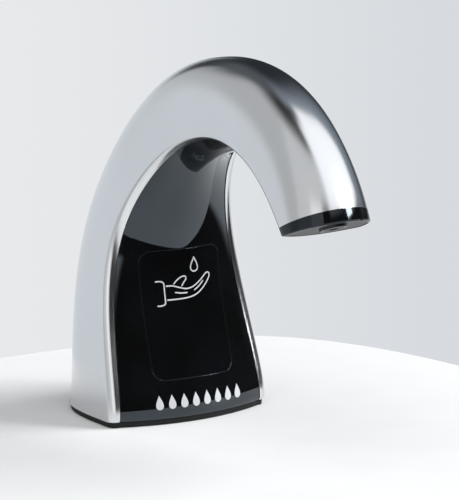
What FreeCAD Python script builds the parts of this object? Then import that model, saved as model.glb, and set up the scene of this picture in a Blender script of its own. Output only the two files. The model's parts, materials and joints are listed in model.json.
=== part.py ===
import FreeCAD, Part
import math
import os

import Sketcher
from FreeCAD import Placement, Rotation, Vector

# A deck-mounted, hands-free soap spout: a hollow arch that stands on a counter and is clamped from below.
# Origin: the counter's surface, on the axis of the shank. +Z is up and the spout reaches towards -Y.

SHEET = "Size"

# The driving dimensions, in millimetres, degrees and counts: alias, value, what it is.
DIMENSIONS = (
    ("wall", 2.2, "wall of the arch"),
    ("ledge", 1.2, "ledge behind the rim that the panel rests on"),
    ("rim_width_foot", 4.0, "width of the rim beside the panel, at the foot"),
    ("rim_width_mid", 3.5, "the same, halfway"),
    ("rim_width_tip", 0.6, "the same, at the tip"),
    ("rim_depth_foot", 3.7, "how far the rim's curve runs back, at the foot"),
    ("rim_depth_mid", 2.2, "the same, halfway"),
    ("rim_depth_tip", 2.4, "the same, at the tip"),
    ("square_foot", 3.4, "exponent of the section's superellipse at the foot"),
    ("square_tip", 2.1, "the same, at the tip"),
    ("bulge_foot", 7.4, "crown of the panel's face at the foot"),
    ("bulge_tip", 5.9, "the same, at the tip"),
    ("cap_start", 5.82, "station where the end cap begins"),
    ("cap_face_start", 5.92, "station where the end cap's face plate begins"),
    ("cap_wall", 1.8, "wall of the end cap"),
    ("boss_radius", 4.5, "screw boss inside the arch"),
    ("boss_across", 28.5, "boss's distance from the middle"),
    ("boss_back", 8.0, "boss's distance behind the shank's axis"),
    ("boss_height", 15.0, "boss's height above the base plate"),
    ("panel_thick", 2.0, "front panel"),
    ("panel_gap", 0.3, "gap beside the panel"),
    ("panel_recess", 0.3, "how far the panel's edge lies behind the rim"),
    ("window_half_width", 19.8, "infrared window"),
    ("window_bottom", 18.5, "window's lower edge"),
    ("window_top", 71.0, "window's upper edge"),
    ("window_corner", 5.0, "window's corner radius"),
    ("window_gap", 0.12, "gap round the window"),
    ("gasket_thick", 2.5, "gasket under the foot"),
    ("gasket_inset", 0.6, "how far the gasket lies inside the foot's outline"),
    ("plate_thick", 4.0, "base plate"),
    ("plate_gap", 1.3, "gap between the base plate and the arch"),
    ("shank_radius", 13.0, "shank over its thread"),
    ("shank_bore", 9.5, "shank's bore radius"),
    ("shank_reach", 58.0, "shank below the counter's surface"),
    ("collar_radius", 14.0, "collar that centres the shank in the deck hole"),
    ("collar_reach", 4.0, "collar below the counter's surface"),
    ("neck_radius", 13.8, "shank between the collar and the flange"),
    ("flange_radius", 21.0, "flange on top of the base plate"),
    ("flange_thick", 3.0, "flange"),
    ("flange_screw_place", 17.6, "flange screws' distance from the axis"),
    ("screw_radius", 1.45, "screw's shaft"),
    ("screw_hole", 1.6, "clearance hole of a screw"),
    ("screw_pilot", 1.35, "pilot hole that a screw cuts its thread in"),
    ("head_radius", 2.8, "screw head"),
    ("head_height", 1.8, "screw head"),
    ("counter_thick", 15.0, "counter that the clamp is drawn up to"),
    ("washer_bore", 13.4, "bore of both washers"),
    ("rubber_radius", 22.0, "rubber washer"),
    ("rubber_thick", 3.0, "rubber washer"),
    ("clamp_radius", 24.0, "clamp washer"),
    ("clamp_thick", 2.0, "clamp washer"),
    ("nut_radius", 18.0, "hub of the mounting nut"),
    ("nut_bore", 13.06, "bore of the mounting nut, over the shank"),
    ("nut_height", 11.0, "mounting nut"),
    ("nut_gap", 0.05, "gap between the nut and the clamp washer"),
    ("wing_reach", 29.0, "wing's end, from the axis"),
    ("wing_thick", 5.0, "wing"),
    ("wing_count", 3, "wings on the nut"),
    ("wing_height", 8.0, "wing"),
    ("bushing_flange", 12.4, "shank bushing's flange radius"),
    ("bushing_flange_thick", 2.0, "shank bushing's flange"),
    ("bushing_plug", 9.4, "shank bushing's plug radius"),
    ("bushing_plug_length", 10.0, "shank bushing's plug"),
    ("tube_back", 4.2, "soap tube's distance behind the axis, in the shank"),
    ("tube_radius", 3.0, "soap tube, outside"),
    ("tube_bore", 2.0, "soap tube, inside"),
    ("clip_wall", 1.8, "wall of a tube clip's ring"),
    ("barb_radius", 1.96, "barb inside the tube"),
    ("barb_length", 7.0, "barb inside the tube"),
    ("duct_radius", 1.2, "passage through a barb"),
    ("spigot_radius", 3.0, "spigot that the supply hose goes on"),
    ("spigot_length", 12.0, "spigot"),
    ("spigot_collar", 4.4, "spigot's collar radius"),
    ("spigot_collar_thick", 2.0, "spigot's collar"),
    ("socket_front", 4.6, "cable socket's distance in front of the axis"),
    ("socket_radius", 3.5, "cable socket"),
    ("socket_collar", 4.1, "cable socket's collar radius"),
    ("socket_bore", 2.4, "cable socket's open well"),
    ("socket_well", 6.0, "depth of the socket's well"),
    ("socket_length", 12.0, "cable socket above its collar"),
    ("pin_circle", 1.1, "circle of the socket's three pins"),
    ("pin_radius", 0.35, "socket's pin"),
    ("cable_radius", 1.6, "sensor cable"),
    ("board_front", 13.0, "back face of the sensor board, in front of the axis"),
    ("board_thick", 1.6, "sensor board"),
    ("board_half_width", 14.0, "sensor board"),
    ("board_bottom", 17.0, "sensor board's lower edge"),
    ("board_top", 53.0, "sensor board's upper edge"),
    ("bracket_front", 8.5, "back face of the bracket's plate, in front of the axis"),
    ("bracket_thick", 2.0, "bracket's plate"),
    ("bracket_low", 14.0, "bracket's lower edge"),
    ("notch_width", 13.0, "opening in the bracket for the cable plug"),
    ("notch_height", 25.0, "the same, from just below the bracket's lower edge"),
    ("leg_width", 3.5, "bracket's leg"),
    ("eye_across", 7.0, "emitter's and receiver's distance from the middle"),
    ("eye_up", 36.0, "emitter and receiver above the counter"),
    ("eye_radius", 2.5, "emitter and receiver"),
    ("eye_length", 4.0, "emitter and receiver, up to the dome"),
    ("baffle_depth", 3.6, "light baffle"),
    ("nozzle_offset", 8.6, "nozzle's axis behind the panel's rim plane, at the tip"),
    ("nozzle_proud", 0.8, "nozzle's end beyond the end cap"),
    ("nozzle_radius", 5.5, "nozzle body"),
    ("nozzle_hole", 5.6, "hole in the end cap"),
    ("nozzle_flange", 7.2, "nozzle body's flange radius"),
    ("chamber_radius", 4.0, "valve chamber"),
    ("chamber_length", 12.0, "valve chamber above the end cap's face"),
    ("nozzle_length", 18.0, "nozzle body above the end cap's face"),
    ("seal_radius", 2.7, "valve seal's ring"),
    ("seal_wire", 0.6, "valve seal's section"),
    ("poppet_radius", 3.6, "valve poppet"),
    ("poppet_thick", 1.2, "valve poppet"),
    ("stem_radius", 1.0, "poppet's stem"),
    ("stem_bore", 1.06, "stem's bore in the spring retainer"),
    ("stem_length", 6.5, "poppet's stem"),
    ("retainer_low", 4.0, "spring retainer above the end cap's face"),
    ("retainer_thick", 1.5, "spring retainer"),
    ("spring_radius", 2.2, "valve spring's middle line"),
    ("spring_wire", 0.28, "half the valve spring's square wire"),
    ("outlet_radius", 1.9, "outlet in the nozzle tip"),
)

# The arch's sections, from the foot to the tip: how far forward and how high the middle of the rim plane is,
# which way the section runs back from it (degrees above straight forward), its half width and its depth.
STATIONS = (
    (23.5, 2.5, 180.0, 39.1, 54.6),
    (18.5, 29.5, 185.5, 37.5, 49.3),
    (12.0, 77.0, 172.0, 30.4, 38.5),
    (35.5, 115.0, 128.5, 19.1, 34.4),
    (72.5, 123.4, 86.0, 17.8, 30.6),
    (99.2, 111.0, 51.0, 18.4, 25.5),
    (115.8, 93.0, 21.0, 19.0, 18.6),
)
STATION_NAMES = ("forward", "height", "tilt", "half_width", "depth")

# The soap tube's corners inside the arch, from the shank upwards: forward of the axis, and height.
TUBE_CORNERS = ((-4.2, 92.0), (8.0, 121.5), (40.0, 136.5), (80.0, 136.0))

# How far above the nozzle body the tube's last corner is.
TUBE_TURN = 13.5

# The sensor cable's corners, from its plug down into the shank: forward of the axis, and height.
CABLE_CORNERS = ((11.2, 17.5), (4.6, 8.0))
CABLE_TOP = 22.0

# The tube clips inside the arch's back: height above the counter, and the wall's distance behind the axis.
CLIP_PLACES = ((45.0, 26.3), (70.0, 24.4))

# Points in each half superellipse, how far the base plate's front stays behind the panel, the spring's turns.
CURVE_POINTS = 24
PLATE_SET_BACK = 1.8
SPRING_TURNS = 3


def fill_sheet(doc):
    """Put every driving dimension in the sheet, one row each."""
    sheet = doc.addObject("Spreadsheet::Sheet", SHEET)
    rows = list(DIMENSIONS)
    for number, station in enumerate(STATIONS, start=1):
        for name, value in zip(STATION_NAMES, station):
            rows.append((f"{name}_{number}", value, f"section {number} of the arch"))
    for row, (alias, value, note) in enumerate(rows, start=1):
        sheet.set(f"A{row}", note)
        sheet.set(f"B{row}", str(value))
        sheet.setAlias(f"B{row}", alias)
    doc.recompute()
    return sheet


def bound(text):
    """Turn words such as <wall> in an expression into references to the sheet."""
    return text.replace("<", SHEET + ".").replace(">", "")


# Part primitives, with their sizes bound to the sheet


def place(item, base):
    """Bind an object's position to the sheet; base is three expressions."""
    for axis, expression in zip("xyz", base):
        if expression != "0":
            item.setExpression("Placement.Base." + axis, bound(expression))


def cylinder(doc, name, radius, height, base=("0", "0", "0"), turn=None):
    item = doc.addObject("Part::Cylinder", name)
    item.setExpression("Radius", bound(radius))
    item.setExpression("Height", bound(height))
    if turn:
        item.Placement = Placement(Vector(), turn)
    place(item, base)
    return item


def box(doc, name, length, width, height, base):
    item = doc.addObject("Part::Box", name)
    item.setExpression("Length", bound(length))
    item.setExpression("Width", bound(width))
    item.setExpression("Height", bound(height))
    place(item, base)
    return item


def cut(doc, name, base, *tools):
    """The base with every tool cut away."""
    tool = tools[0]
    if len(tools) > 1:
        tool = join(doc, name + "_tools", *tools)
    item = doc.addObject("Part::Cut", name)
    item.Base = base
    item.Tool = tool
    return item


def join(doc, name, *shapes):
    item = doc.addObject("Part::MultiFuse", name)
    item.Shapes = list(shapes)
    return item


def group(doc, name, *shapes):
    """Separate solids that share one object."""
    item = doc.addObject("Part::Compound", name)
    item.Links = list(shapes)
    return item


def feature(doc, name, shape):
    item = doc.addObject("Part::Feature", name)
    item.Shape = shape
    return item


# PartDesign bodies


def sketch_on(body, role, name):
    """A sketch on one of the body's own origin planes."""
    sketch = body.newObject("Sketcher::SketchObject", name)
    plane = next(item for item in body.Origin.OriginFeatures if item.Role == role)
    sketch.AttachmentSupport = [(plane, "")]
    sketch.MapMode = "FlatFace"
    return sketch


def sketch_circle(sketch, radius):
    """A circle on the sketch's origin, with its radius bound to the sheet."""
    circle = sketch.addGeometry(Part.Circle(Vector(), Vector(0, 0, 1), 10.0), False)
    sketch.addConstraint(Sketcher.Constraint("Coincident", circle, 3, -1, 1))
    row = sketch.addConstraint(Sketcher.Constraint("Radius", circle, 10.0))
    sketch.setExpression(f"Constraints[{row}]", bound(radius))


def sketch_outline(sketch, outline):
    """A closed outline of straight lines, with each corner's two coordinates bound to the sheet."""
    count = len(outline)
    turn = 2 * math.pi / count
    rough = [Vector(20 + 10 * math.cos(turn * i), 20 + 10 * math.sin(turn * i), 0) for i in range(count)]
    for i in range(count):
        sketch.addGeometry(Part.LineSegment(rough[i], rough[(i + 1) % count]), False)
    for i in range(count):
        sketch.addConstraint(Sketcher.Constraint("Coincident", i, 2, (i + 1) % count, 1))
    for i, corner in enumerate(outline):
        for kind, axis_line, expression in zip(("DistanceX", "DistanceY"), (-2, -1), corner):
            if expression == "0":
                sketch.addConstraint(Sketcher.Constraint("PointOnObject", i, 1, axis_line))
                continue
            row = sketch.addConstraint(Sketcher.Constraint(kind, -1, 1, i, 1, 10.0))
            sketch.setExpression(f"Constraints[{row}]", bound(expression))


def ring_body(doc, name, outer, inner, height, up):
    """A flat ring about the shank's axis."""
    body = doc.addObject("PartDesign::Body", name)
    sketch = sketch_on(body, "XY_Plane", name + "_profile")
    sketch_circle(sketch, outer)
    sketch_circle(sketch, inner)
    pad = body.newObject("PartDesign::Pad", name + "_pad")
    pad.Profile = sketch
    pad.setExpression("Length", bound(height))
    place(body, ("0", "0", up))
    return body


def turned_body(doc, name, outline):
    """A body turned about its own Z axis; outline gives (radius, height) corners, all with height >= 0."""
    body = doc.addObject("PartDesign::Body", name)
    sketch = sketch_on(body, "XZ_Plane", name + "_profile")
    sketch_outline(sketch, outline)
    turn = body.newObject("PartDesign::Revolution", name + "_turn")
    turn.Profile = sketch
    turn.ReferenceAxis = (sketch, ["V_Axis"])
    turn.Angle = 360
    return body


# The arch's sections


class Arch:
    """Smooth curves through the stations, read from the sheet."""

    def __init__(self, sheet):
        self.sheet = sheet
        steps = [float(i) for i in range(len(STATIONS))]
        rows = [[sheet.get(f"{name}_{i + 1}") for name in STATION_NAMES] for i in range(len(STATIONS))]
        self.line = Part.BSplineCurve()
        self.line.interpolate(Points=[Vector(row[0], row[1], row[2]) for row in rows], Parameters=steps)
        self.girth = Part.BSplineCurve()
        self.girth.interpolate(Points=[Vector(row[3], row[4], 0) for row in rows], Parameters=steps)
        self.end = steps[-1]

    def between(self, name, share):
        """A value that runs from its foot value to its tip value, through its middle one if it has one."""
        foot = self.sheet.get(name + "_foot")
        tip = self.sheet.get(name + "_tip")
        if name not in ("rim_width", "rim_depth"):
            return foot + (tip - foot) * share
        middle = self.sheet.get(name + "_mid")
        rest = 1 - share
        return foot * rest * (1 - 2 * share) + middle * 4 * share * rest + tip * share * (2 * share - 1)

    def section(self, along):
        return Section(self, along)


class Section:
    """One cross-section: x runs across it, and n runs from the rim plane towards the back."""

    def __init__(self, arch, along):
        share = along / arch.end
        place_here = arch.line.value(along)
        girth = arch.girth.value(along)
        self.size = arch.sheet
        self.forward, self.height, self.tilt = place_here.x, place_here.y, math.radians(place_here.z)
        self.half, self.depth = girth.x, girth.y
        self.square = arch.between("square", share)
        self.bulge = arch.between("bulge", share)
        self.rim_width = arch.between("rim_width", share)
        self.rim_depth = arch.between("rim_depth", share)

    def point(self, x, n):
        forward = self.forward + math.cos(self.tilt) * n
        return Vector(x, -forward, self.height + math.sin(self.tilt) * n)

    def oval_edge(self, half, low, high):
        """Half a superellipse from x = half to x = -half, which starts at n = low and reaches n = high."""
        points = []
        for i in range(CURVE_POINTS + 1):
            angle = math.pi * i / CURVE_POINTS
            across, back = math.cos(angle), math.sin(angle)
            power = abs(across / half) ** self.square + abs(back / (high - low)) ** self.square
            reach = power ** (1 / self.square)
            points.append(self.point(across / reach, low + back / reach))
        return spline_edge(points)

    def rim_edge(self, side):
        """A quarter ellipse from the rim's inner corner out to the side wall; side is 1 or -1."""
        points = []
        for i in range(7):
            angle = math.pi / 2 * i / 6
            across = self.half - self.rim_width + self.rim_width * math.sin(angle)
            points.append(self.point(side * across, self.rim_depth * (1 - math.cos(angle))))
        return spline_edge(points if side > 0 else points[::-1])

    def face_depth(self, x, shift):
        """Where along n the panel's crowned face lies at x, shifted back along n."""
        return -self.bulge * (1 - (x / (self.half - self.rim_width)) ** 2) + shift

    def face_edge(self, half, shift):
        """The panel's crowned face as a parabola, from x = -half to x = half, shifted back along n."""
        edge = self.face_depth(half, shift)
        slope = 2 * self.bulge * half / (self.half - self.rim_width) ** 2
        curve = Part.BezierCurve()
        curve.setPoles([self.point(-half, edge), self.point(0, edge - slope * half), self.point(half, edge)])
        return curve.toShape()


def spline_edge(points):
    curve = Part.BSplineCurve()
    curve.interpolate(Points=points, Parameters=[float(i) for i in range(len(points))])
    return curve.toShape()


def shell_wire(section):
    """The arch's wall: outer curve, two rims, the panel's seat and the inner curve."""
    size = section.size
    seat = size.get("panel_thick") + size.get("panel_recess") + 0.1
    lip = section.half - section.rim_width
    inner = lip - size.get("ledge")
    edges = [
        section.rim_edge(1),
        Part.makeLine(section.point(lip, 0), section.point(lip, seat)),
        Part.makeLine(section.point(lip, seat), section.point(inner, seat)),
        section.oval_edge(inner, seat, section.depth - size.get("wall")),
        Part.makeLine(section.point(-inner, seat), section.point(-lip, seat)),
        Part.makeLine(section.point(-lip, seat), section.point(-lip, 0)),
        section.rim_edge(-1),
        section.oval_edge(section.half, section.rim_depth, section.depth),
    ]
    return Part.Wire(Part.__sortEdges__(edges))


def outline_wire(section):
    """The closed outline of the whole section, crowned face included."""
    half = section.half - section.rim_width
    edges = [
        section.face_edge(half, 0.0),
        section.rim_edge(1),
        section.oval_edge(section.half, section.rim_depth, section.depth),
        section.rim_edge(-1),
    ]
    return Part.Wire(Part.__sortEdges__(edges))


def panel_wire(section):
    size = section.size
    half = section.half - section.rim_width - size.get("panel_gap")
    front = section.face_edge(half, size.get("panel_recess"))
    back = section.face_edge(half, size.get("panel_recess") + size.get("panel_thick"))
    edges = [
        front,
        Part.makeLine(front.valueAt(front.LastParameter), back.valueAt(back.LastParameter)),
        back,
        Part.makeLine(back.valueAt(back.FirstParameter), front.valueAt(front.FirstParameter)),
    ]
    return Part.Wire(Part.__sortEdges__(edges))


def hollow_wire(section, wall):
    """The room inside the end cap."""
    half = section.half - section.rim_width - wall
    back = section.oval_edge(half, wall, section.depth - wall)
    front = section.face_edge(half, wall)
    ends = [
        Part.makeLine(back.valueAt(back.LastParameter), front.valueAt(front.FirstParameter)),
        Part.makeLine(front.valueAt(front.LastParameter), back.valueAt(back.FirstParameter)),
    ]
    return Part.Wire(Part.__sortEdges__([back, front] + ends))


def stations_between(first, last, step=0.5):
    """Places for sections along the arch, the first and last included."""
    count = max(1, round((last - first) / step))
    return [first + (last - first) * i / count for i in range(count + 1)]


def loft(arch, wire, first, last, step=0.5, **keywords):
    wires = [wire(arch.section(along), **keywords) for along in stations_between(first, last, step)]
    return Part.makeLoft(wires, True)


# The shell and what shows


def make_arch_shell(doc, arch):
    """The satin chromed arch with two screw bosses at its foot."""
    size = arch.sheet
    wall = feature(doc, "arch_wall", loft(arch, shell_wire, 0.0, size.get("cap_start")))
    bosses = []
    for side, sign in (("left", "-"), ("right", "")):
        base = (f"{sign}<boss_across>", "<boss_back>", "<gasket_thick> + <plate_thick>")
        post = cylinder(doc, f"boss_{side}", "<boss_radius>", "<boss_height>", base)
        hole = cylinder(doc, f"boss_{side}_hole", "<screw_pilot>", "<boss_height> - 3", base)
        bosses.append(cut(doc, f"boss_{side}_drilled", post, hole))
    return join(doc, "arch_shell", wall, *bosses)


def window_blank(doc, name, grow):
    """A rounded block along Y, as wide and tall as the window plus the given growth on every side."""
    left = box(doc, name + "_block", f"2 * (<window_half_width> + {grow})", "40",
               f"<window_top> - <window_bottom> + 2 * {grow}",
               (f"-<window_half_width> - {grow}", "-45", f"<window_bottom> - {grow}"))
    doc.recompute()
    block = doc.addObject("Part::Fillet", name)
    block.Base = left
    corner = doc.getObject(SHEET).get("window_corner") + grow
    block.Edges = [(i + 1, corner, corner) for i, edge in enumerate(left.Shape.Edges)
                   if abs(edge.tangentAt(edge.FirstParameter).y) > 0.9]
    return block


def make_front_panel(doc, arch):
    """The gloss black strip, with the window's opening, and the window cut from the same sheet."""
    size = arch.sheet
    panel = loft(arch, panel_wire, 0.0, size.get("cap_start"))
    front_panel = cut(doc, "front_panel", feature(doc, "panel_sheet", panel),
                      window_blank(doc, "window_opening", size.get("window_gap")))
    ir_window = doc.addObject("Part::Common", "ir_window")
    ir_window.Base = feature(doc, "window_sheet", panel)
    ir_window.Tool = window_blank(doc, "window_shape", 0)
    return front_panel, ir_window


def make_end_cap(doc, arch, nozzle):
    """The gloss black cap that closes the tip, open towards the arch, with the nozzle's hole."""
    size = arch.sheet
    start, face = size.get("cap_start"), size.get("cap_face_start")
    skin = feature(doc, "cap_blank", loft(arch, outline_wire, start, arch.end, 0.1))
    room = loft(arch, lambda section: hollow_wire(section, size.get("cap_wall")), start - 0.06, face, 0.16)
    hole = cylinder(doc, "cap_hole", "<nozzle_hole>", "20")
    hole.Placement = nozzle.multiply(Placement(Vector(0, 0, -5), Rotation()))
    return cut(doc, "end_cap", skin, feature(doc, "cap_room", room), hole)


def foot_wire(section, inset, seat):
    """The foot's outline moved inwards by inset, with its crowned front moved back by seat."""
    half = section.half - section.rim_width
    back = section.oval_edge(section.half - inset, section.rim_depth, section.depth - inset)
    front = section.face_edge(half, seat)
    corners = [
        Part.makeLine(front.valueAt(front.LastParameter), back.valueAt(back.FirstParameter)),
        Part.makeLine(back.valueAt(back.LastParameter), front.valueAt(front.FirstParameter)),
    ]
    return Part.Wire(Part.__sortEdges__([front, back] + corners))


def make_base_gasket(doc, arch):
    """The rubber gasket between the foot and the counter, with a hole for the collar."""
    wire = foot_wire(arch.section(0.0), arch.sheet.get("gasket_inset"), arch.sheet.get("gasket_inset"))
    outline = feature(doc, "gasket_outline", Part.Face(wire))
    slab = doc.addObject("Part::Extrusion", "gasket_slab")
    slab.Base = outline
    slab.DirMode = "Custom"
    slab.Dir = Vector(0, 0, -1)
    slab.setExpression("LengthFwd", bound("<gasket_thick>"))
    slab.Solid = True
    hole = cylinder(doc, "gasket_hole", "<collar_radius> + 0.5", "2 * <gasket_thick>", ("0", "0", "-1"))
    return cut(doc, "base_gasket", slab, hole)


def screw(doc, name, length, x, y, seat, upwards):
    """A pan-head screw whose head seats at height seat; it points up or down from there."""
    shaft_low = seat if upwards else f"{seat} - {length}"
    head_low = f"{seat} - <head_height>" if upwards else seat
    drive_low = head_low if upwards else f"{seat} + <head_height> * 0.4"
    shaft = cylinder(doc, name + "_shaft", "<screw_radius>", length, (x, y, shaft_low))
    head = cylinder(doc, name + "_head", "<head_radius>", "<head_height>", (x, y, head_low))
    drive = cylinder(doc, name + "_drive", "<head_radius> * 0.4", "<head_height> * 0.6", (x, y, drive_low))
    return cut(doc, name, join(doc, name + "_blank", shaft, head), drive)


# The foot and the clamp under the counter


def make_base_plate(doc, arch):
    """The cast plate inside the shell's foot, with holes for the collar and the screws."""
    size = arch.sheet
    section = arch.section(0.0)
    seat = size.get("panel_thick") + size.get("panel_recess") + 0.1
    inset = section.rim_width + size.get("ledge") + size.get("plate_gap")
    half = section.half - inset
    front = section.face_edge(half, seat + PLATE_SET_BACK)
    back = section.oval_edge(half, section.face_depth(half, seat + PLATE_SET_BACK),
                             section.depth - size.get("wall") - size.get("plate_gap"))
    face = Part.Face(Part.Wire(Part.__sortEdges__([front, back])))
    slab = doc.addObject("Part::Extrusion", "plate_slab")
    slab.Base = feature(doc, "plate_outline", face)
    slab.DirMode = "Custom"
    slab.Dir = Vector(0, 0, 1)
    slab.setExpression("LengthFwd", bound("<plate_thick>"))
    slab.Solid = True
    tools = [cylinder(doc, "plate_hole", "<collar_radius> + 0.1", "20")]
    for side, sign in (("left", "-"), ("right", "")):
        x, y = f"{sign}<boss_across>", "<boss_back>"
        tools.append(cylinder(doc, f"plate_{side}_hole", "<screw_hole>", "20", (x, y, "0")))
        tools.append(cylinder(doc, f"plate_{side}_recess", "<head_radius> + 0.3", "<head_height> + 0.1",
                              (x, y, "<gasket_thick>")))
    for number, (x, y) in enumerate(flange_screw_places()):
        tools.append(cylinder(doc, f"plate_tapping_{number}", "<screw_pilot>", "20", (x, y, "0")))
    return cut(doc, "base_plate", slab, *tools)


def make_base_screws(doc):
    """Two screws from the base plate up into the shell's bosses."""
    seat = "<gasket_thick> + <head_height> + 0.1"
    screws = [screw(doc, f"base_screw_{side}", "9", f"{sign}<boss_across>", "<boss_back>", seat, True)
              for side, sign in (("left", "-"), ("right", ""))]
    return group(doc, "base_screws", *screws)


def flange_screw_places():
    """Four places round the shank, as expressions."""
    places = []
    for quarter in range(4):
        angle = math.pi / 2 * quarter
        places.append(tuple(f"<flange_screw_place> * {way(angle):.4f}" for way in (math.cos, math.sin)))
    return places


def make_threaded_shank(doc):
    """The hollow shank: a flange on the base plate, a collar in the deck hole and a long thread."""
    reach = "<shank_reach>"
    step = "<shank_reach> - <collar_reach>"
    flange = "<shank_reach> + <gasket_thick> + <plate_thick>"
    body = turned_body(doc, "shank_turned", (
        ("<shank_bore>", "0"),
        ("<shank_radius>", "0"),
        ("<shank_radius>", step),
        ("<collar_radius>", step),
        ("<collar_radius>", "<shank_reach>"),
        ("<neck_radius>", "<shank_reach>"),
        ("<neck_radius>", flange),
        ("<flange_radius>", flange),
        ("<flange_radius>", flange + " + <flange_thick>"),
        ("<shank_bore>", flange + " + <flange_thick>"),
    ))
    place(body, ("0", "0", f"-({reach})"))
    low = "<gasket_thick> + <plate_thick> - 1"
    holes = [cylinder(doc, f"flange_hole_{number}", "<screw_hole>", "8", (x, y, low))
             for number, (x, y) in enumerate(flange_screw_places())]
    return cut(doc, "threaded_shank", body, *holes)


def make_flange_screws(doc):
    """Four screws from the shank's flange down into the base plate."""
    seat = "<gasket_thick> + <plate_thick> + <flange_thick>"
    screws = [screw(doc, f"flange_screw_{number}", "6.5", x, y, seat, False)
              for number, (x, y) in enumerate(flange_screw_places())]
    return group(doc, "flange_screws", *screws)


def make_washers(doc):
    """The rubber washer against the counter's underside and the clamp washer below it."""
    rubber = ring_body(doc, "rubber_washer", "<rubber_radius>", "<washer_bore>", "<rubber_thick>",
                       "-<counter_thick> - <rubber_thick>")
    clamp = ring_body(doc, "clamp_washer", "<clamp_radius>", "<washer_bore>", "<clamp_thick>",
                      "-<counter_thick> - <rubber_thick> - <clamp_thick>")
    return rubber, clamp


def make_mounting_nut(doc):
    """The wing nut: a hub with three wings in a ring."""
    body = doc.addObject("PartDesign::Body", "mounting_nut")
    hub_sketch = sketch_on(body, "XY_Plane", "nut_hub_profile")
    sketch_circle(hub_sketch, "<nut_radius>")
    hub = body.newObject("PartDesign::Pad", "nut_hub")
    hub.Profile = hub_sketch
    hub.setExpression("Length", bound("<nut_height>"))
    wing_sketch = sketch_on(body, "XY_Plane", "nut_wing_profile")
    sketch_outline(wing_sketch, (
        ("<nut_radius> - 3", "0"),
        ("<wing_reach>", "0"),
        ("<wing_reach>", "<wing_thick>"),
        ("<nut_radius> - 3", "<wing_thick>"),
    ))
    wing = body.newObject("PartDesign::Pad", "nut_wing")
    wing.Profile = wing_sketch
    wing.setExpression("Length", bound("<wing_height>"))
    wings = body.newObject("PartDesign::PolarPattern", "nut_wings")
    wings.Originals = [wing]
    wings.Axis = (hub_sketch, ["N_Axis"])
    wings.Angle = 360
    wings.setExpression("Occurrences", bound("<wing_count>"))
    body.Tip = wings
    doc.recompute()
    bore_sketch = sketch_on(body, "XY_Plane", "nut_bore_profile")
    sketch_circle(bore_sketch, "<nut_bore>")
    bore = body.newObject("PartDesign::Pocket", "nut_thread")
    bore.Profile = bore_sketch
    bore.Type = "ThroughAll"
    bore.Reversed = True
    body.Tip = bore
    place(body, ("0", "0", "-<counter_thick> - <rubber_thick> - <clamp_thick> - <nut_gap> - <nut_height>"))
    return body


def make_shank_bushing(doc):
    """The plug in the shank's lower end that holds the soap tube and the cable socket."""
    flange = cylinder(doc, "bushing_flange_disc", "<bushing_flange>", "<bushing_flange_thick>",
                      ("0", "0", "-<shank_reach> - <bushing_flange_thick>"))
    plug = cylinder(doc, "bushing_plug_disc", "<bushing_plug>", "<bushing_plug_length>",
                    ("0", "0", "-<shank_reach>"))
    low = "-<shank_reach> - <bushing_flange_thick> - 1"
    tube_hole = cylinder(doc, "bushing_tube_hole", "<tube_radius> + 0.05", "30", ("0", "<tube_back>", low))
    socket_hole = cylinder(doc, "bushing_socket_hole", "<socket_radius> + 0.05", "30",
                           ("0", "-<socket_front>", low))
    return cut(doc, "shank_bushing", join(doc, "bushing_blank", flange, plug), tube_hole, socket_hole)


def make_tube_connector(doc):
    """The spigot for the supply hose, with a barb that holds the soap tube."""
    collar = "<spigot_length> + <spigot_collar_thick>"
    body = turned_body(doc, "tube_connector", (
        ("<duct_radius>", "0"),
        ("<spigot_radius>", "0"),
        ("<spigot_radius>", "<spigot_length>"),
        ("<spigot_collar>", "<spigot_length>"),
        ("<spigot_collar>", collar),
        ("<barb_radius>", collar),
        ("<barb_radius>", collar + " + <barb_length>"),
        ("<duct_radius>", collar + " + <barb_length>"),
    ))
    place(body, ("0", "<tube_back>", f"-<shank_reach> - <bushing_flange_thick> - ({collar})"))
    return body


def make_cable_socket(doc):
    """The round socket in the bushing that the under-counter control lead plugs into."""
    x, y = "0", "-<socket_front>"
    low = "-<shank_reach> - <bushing_flange_thick>"
    mouth = low + " - <spigot_collar_thick>"
    shell = cylinder(doc, "socket_barrel", "<socket_radius>", "<socket_length>", (x, y, low))
    collar = cylinder(doc, "socket_collar_disc", "<socket_collar>", "<spigot_collar_thick>", (x, y, mouth))
    well = cylinder(doc, "socket_well_hole", "<socket_bore>", "<socket_well>", (x, y, mouth))
    pins = []
    for number in range(3):
        angle = 2 * math.pi / 3 * number
        pin_x = f"<pin_circle> * {math.cos(angle):.4f}"
        pin_y = f"-<socket_front> + <pin_circle> * {math.sin(angle):.4f}"
        pins.append(cylinder(doc, f"socket_pin_{number}", "<pin_radius>", "<socket_well> - 1",
                             (pin_x, pin_y, mouth + " + 1")))
    body = cut(doc, "socket_body", join(doc, "socket_blank", shell, collar), well)
    return join(doc, "cable_socket", body, *pins)


# The soap's way to the nozzle


def rounded_path(points):
    """Straight runs joined by tangent arcs in the plane x = 0; points are (forward, height) pairs."""
    corners = [Vector(0, -forward, height) for forward, height in points]
    edges = []
    start = corners[0]
    for before, corner, after in zip(corners, corners[1:], corners[2:]):
        inwards, outwards = (before - corner).normalize(), (after - corner).normalize()
        half_turn = (math.pi - inwards.getAngle(outwards)) / 2
        run = 0.45 * min((before - corner).Length, (after - corner).Length)
        radius = run / math.tan(half_turn)
        middle_way = (inwards + outwards).normalize()
        centre_way = radius / math.cos(half_turn)
        centre = corner + middle_way * centre_way
        first, last = corner + inwards * run, corner + outwards * run
        edges.append(Part.LineSegment(start, first).toShape())
        edges.append(Part.Arc(first, centre - middle_way * radius, last).toShape())
        start = last
    edges.append(Part.LineSegment(start, corners[-1]).toShape())
    return Part.Wire(edges)


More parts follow.
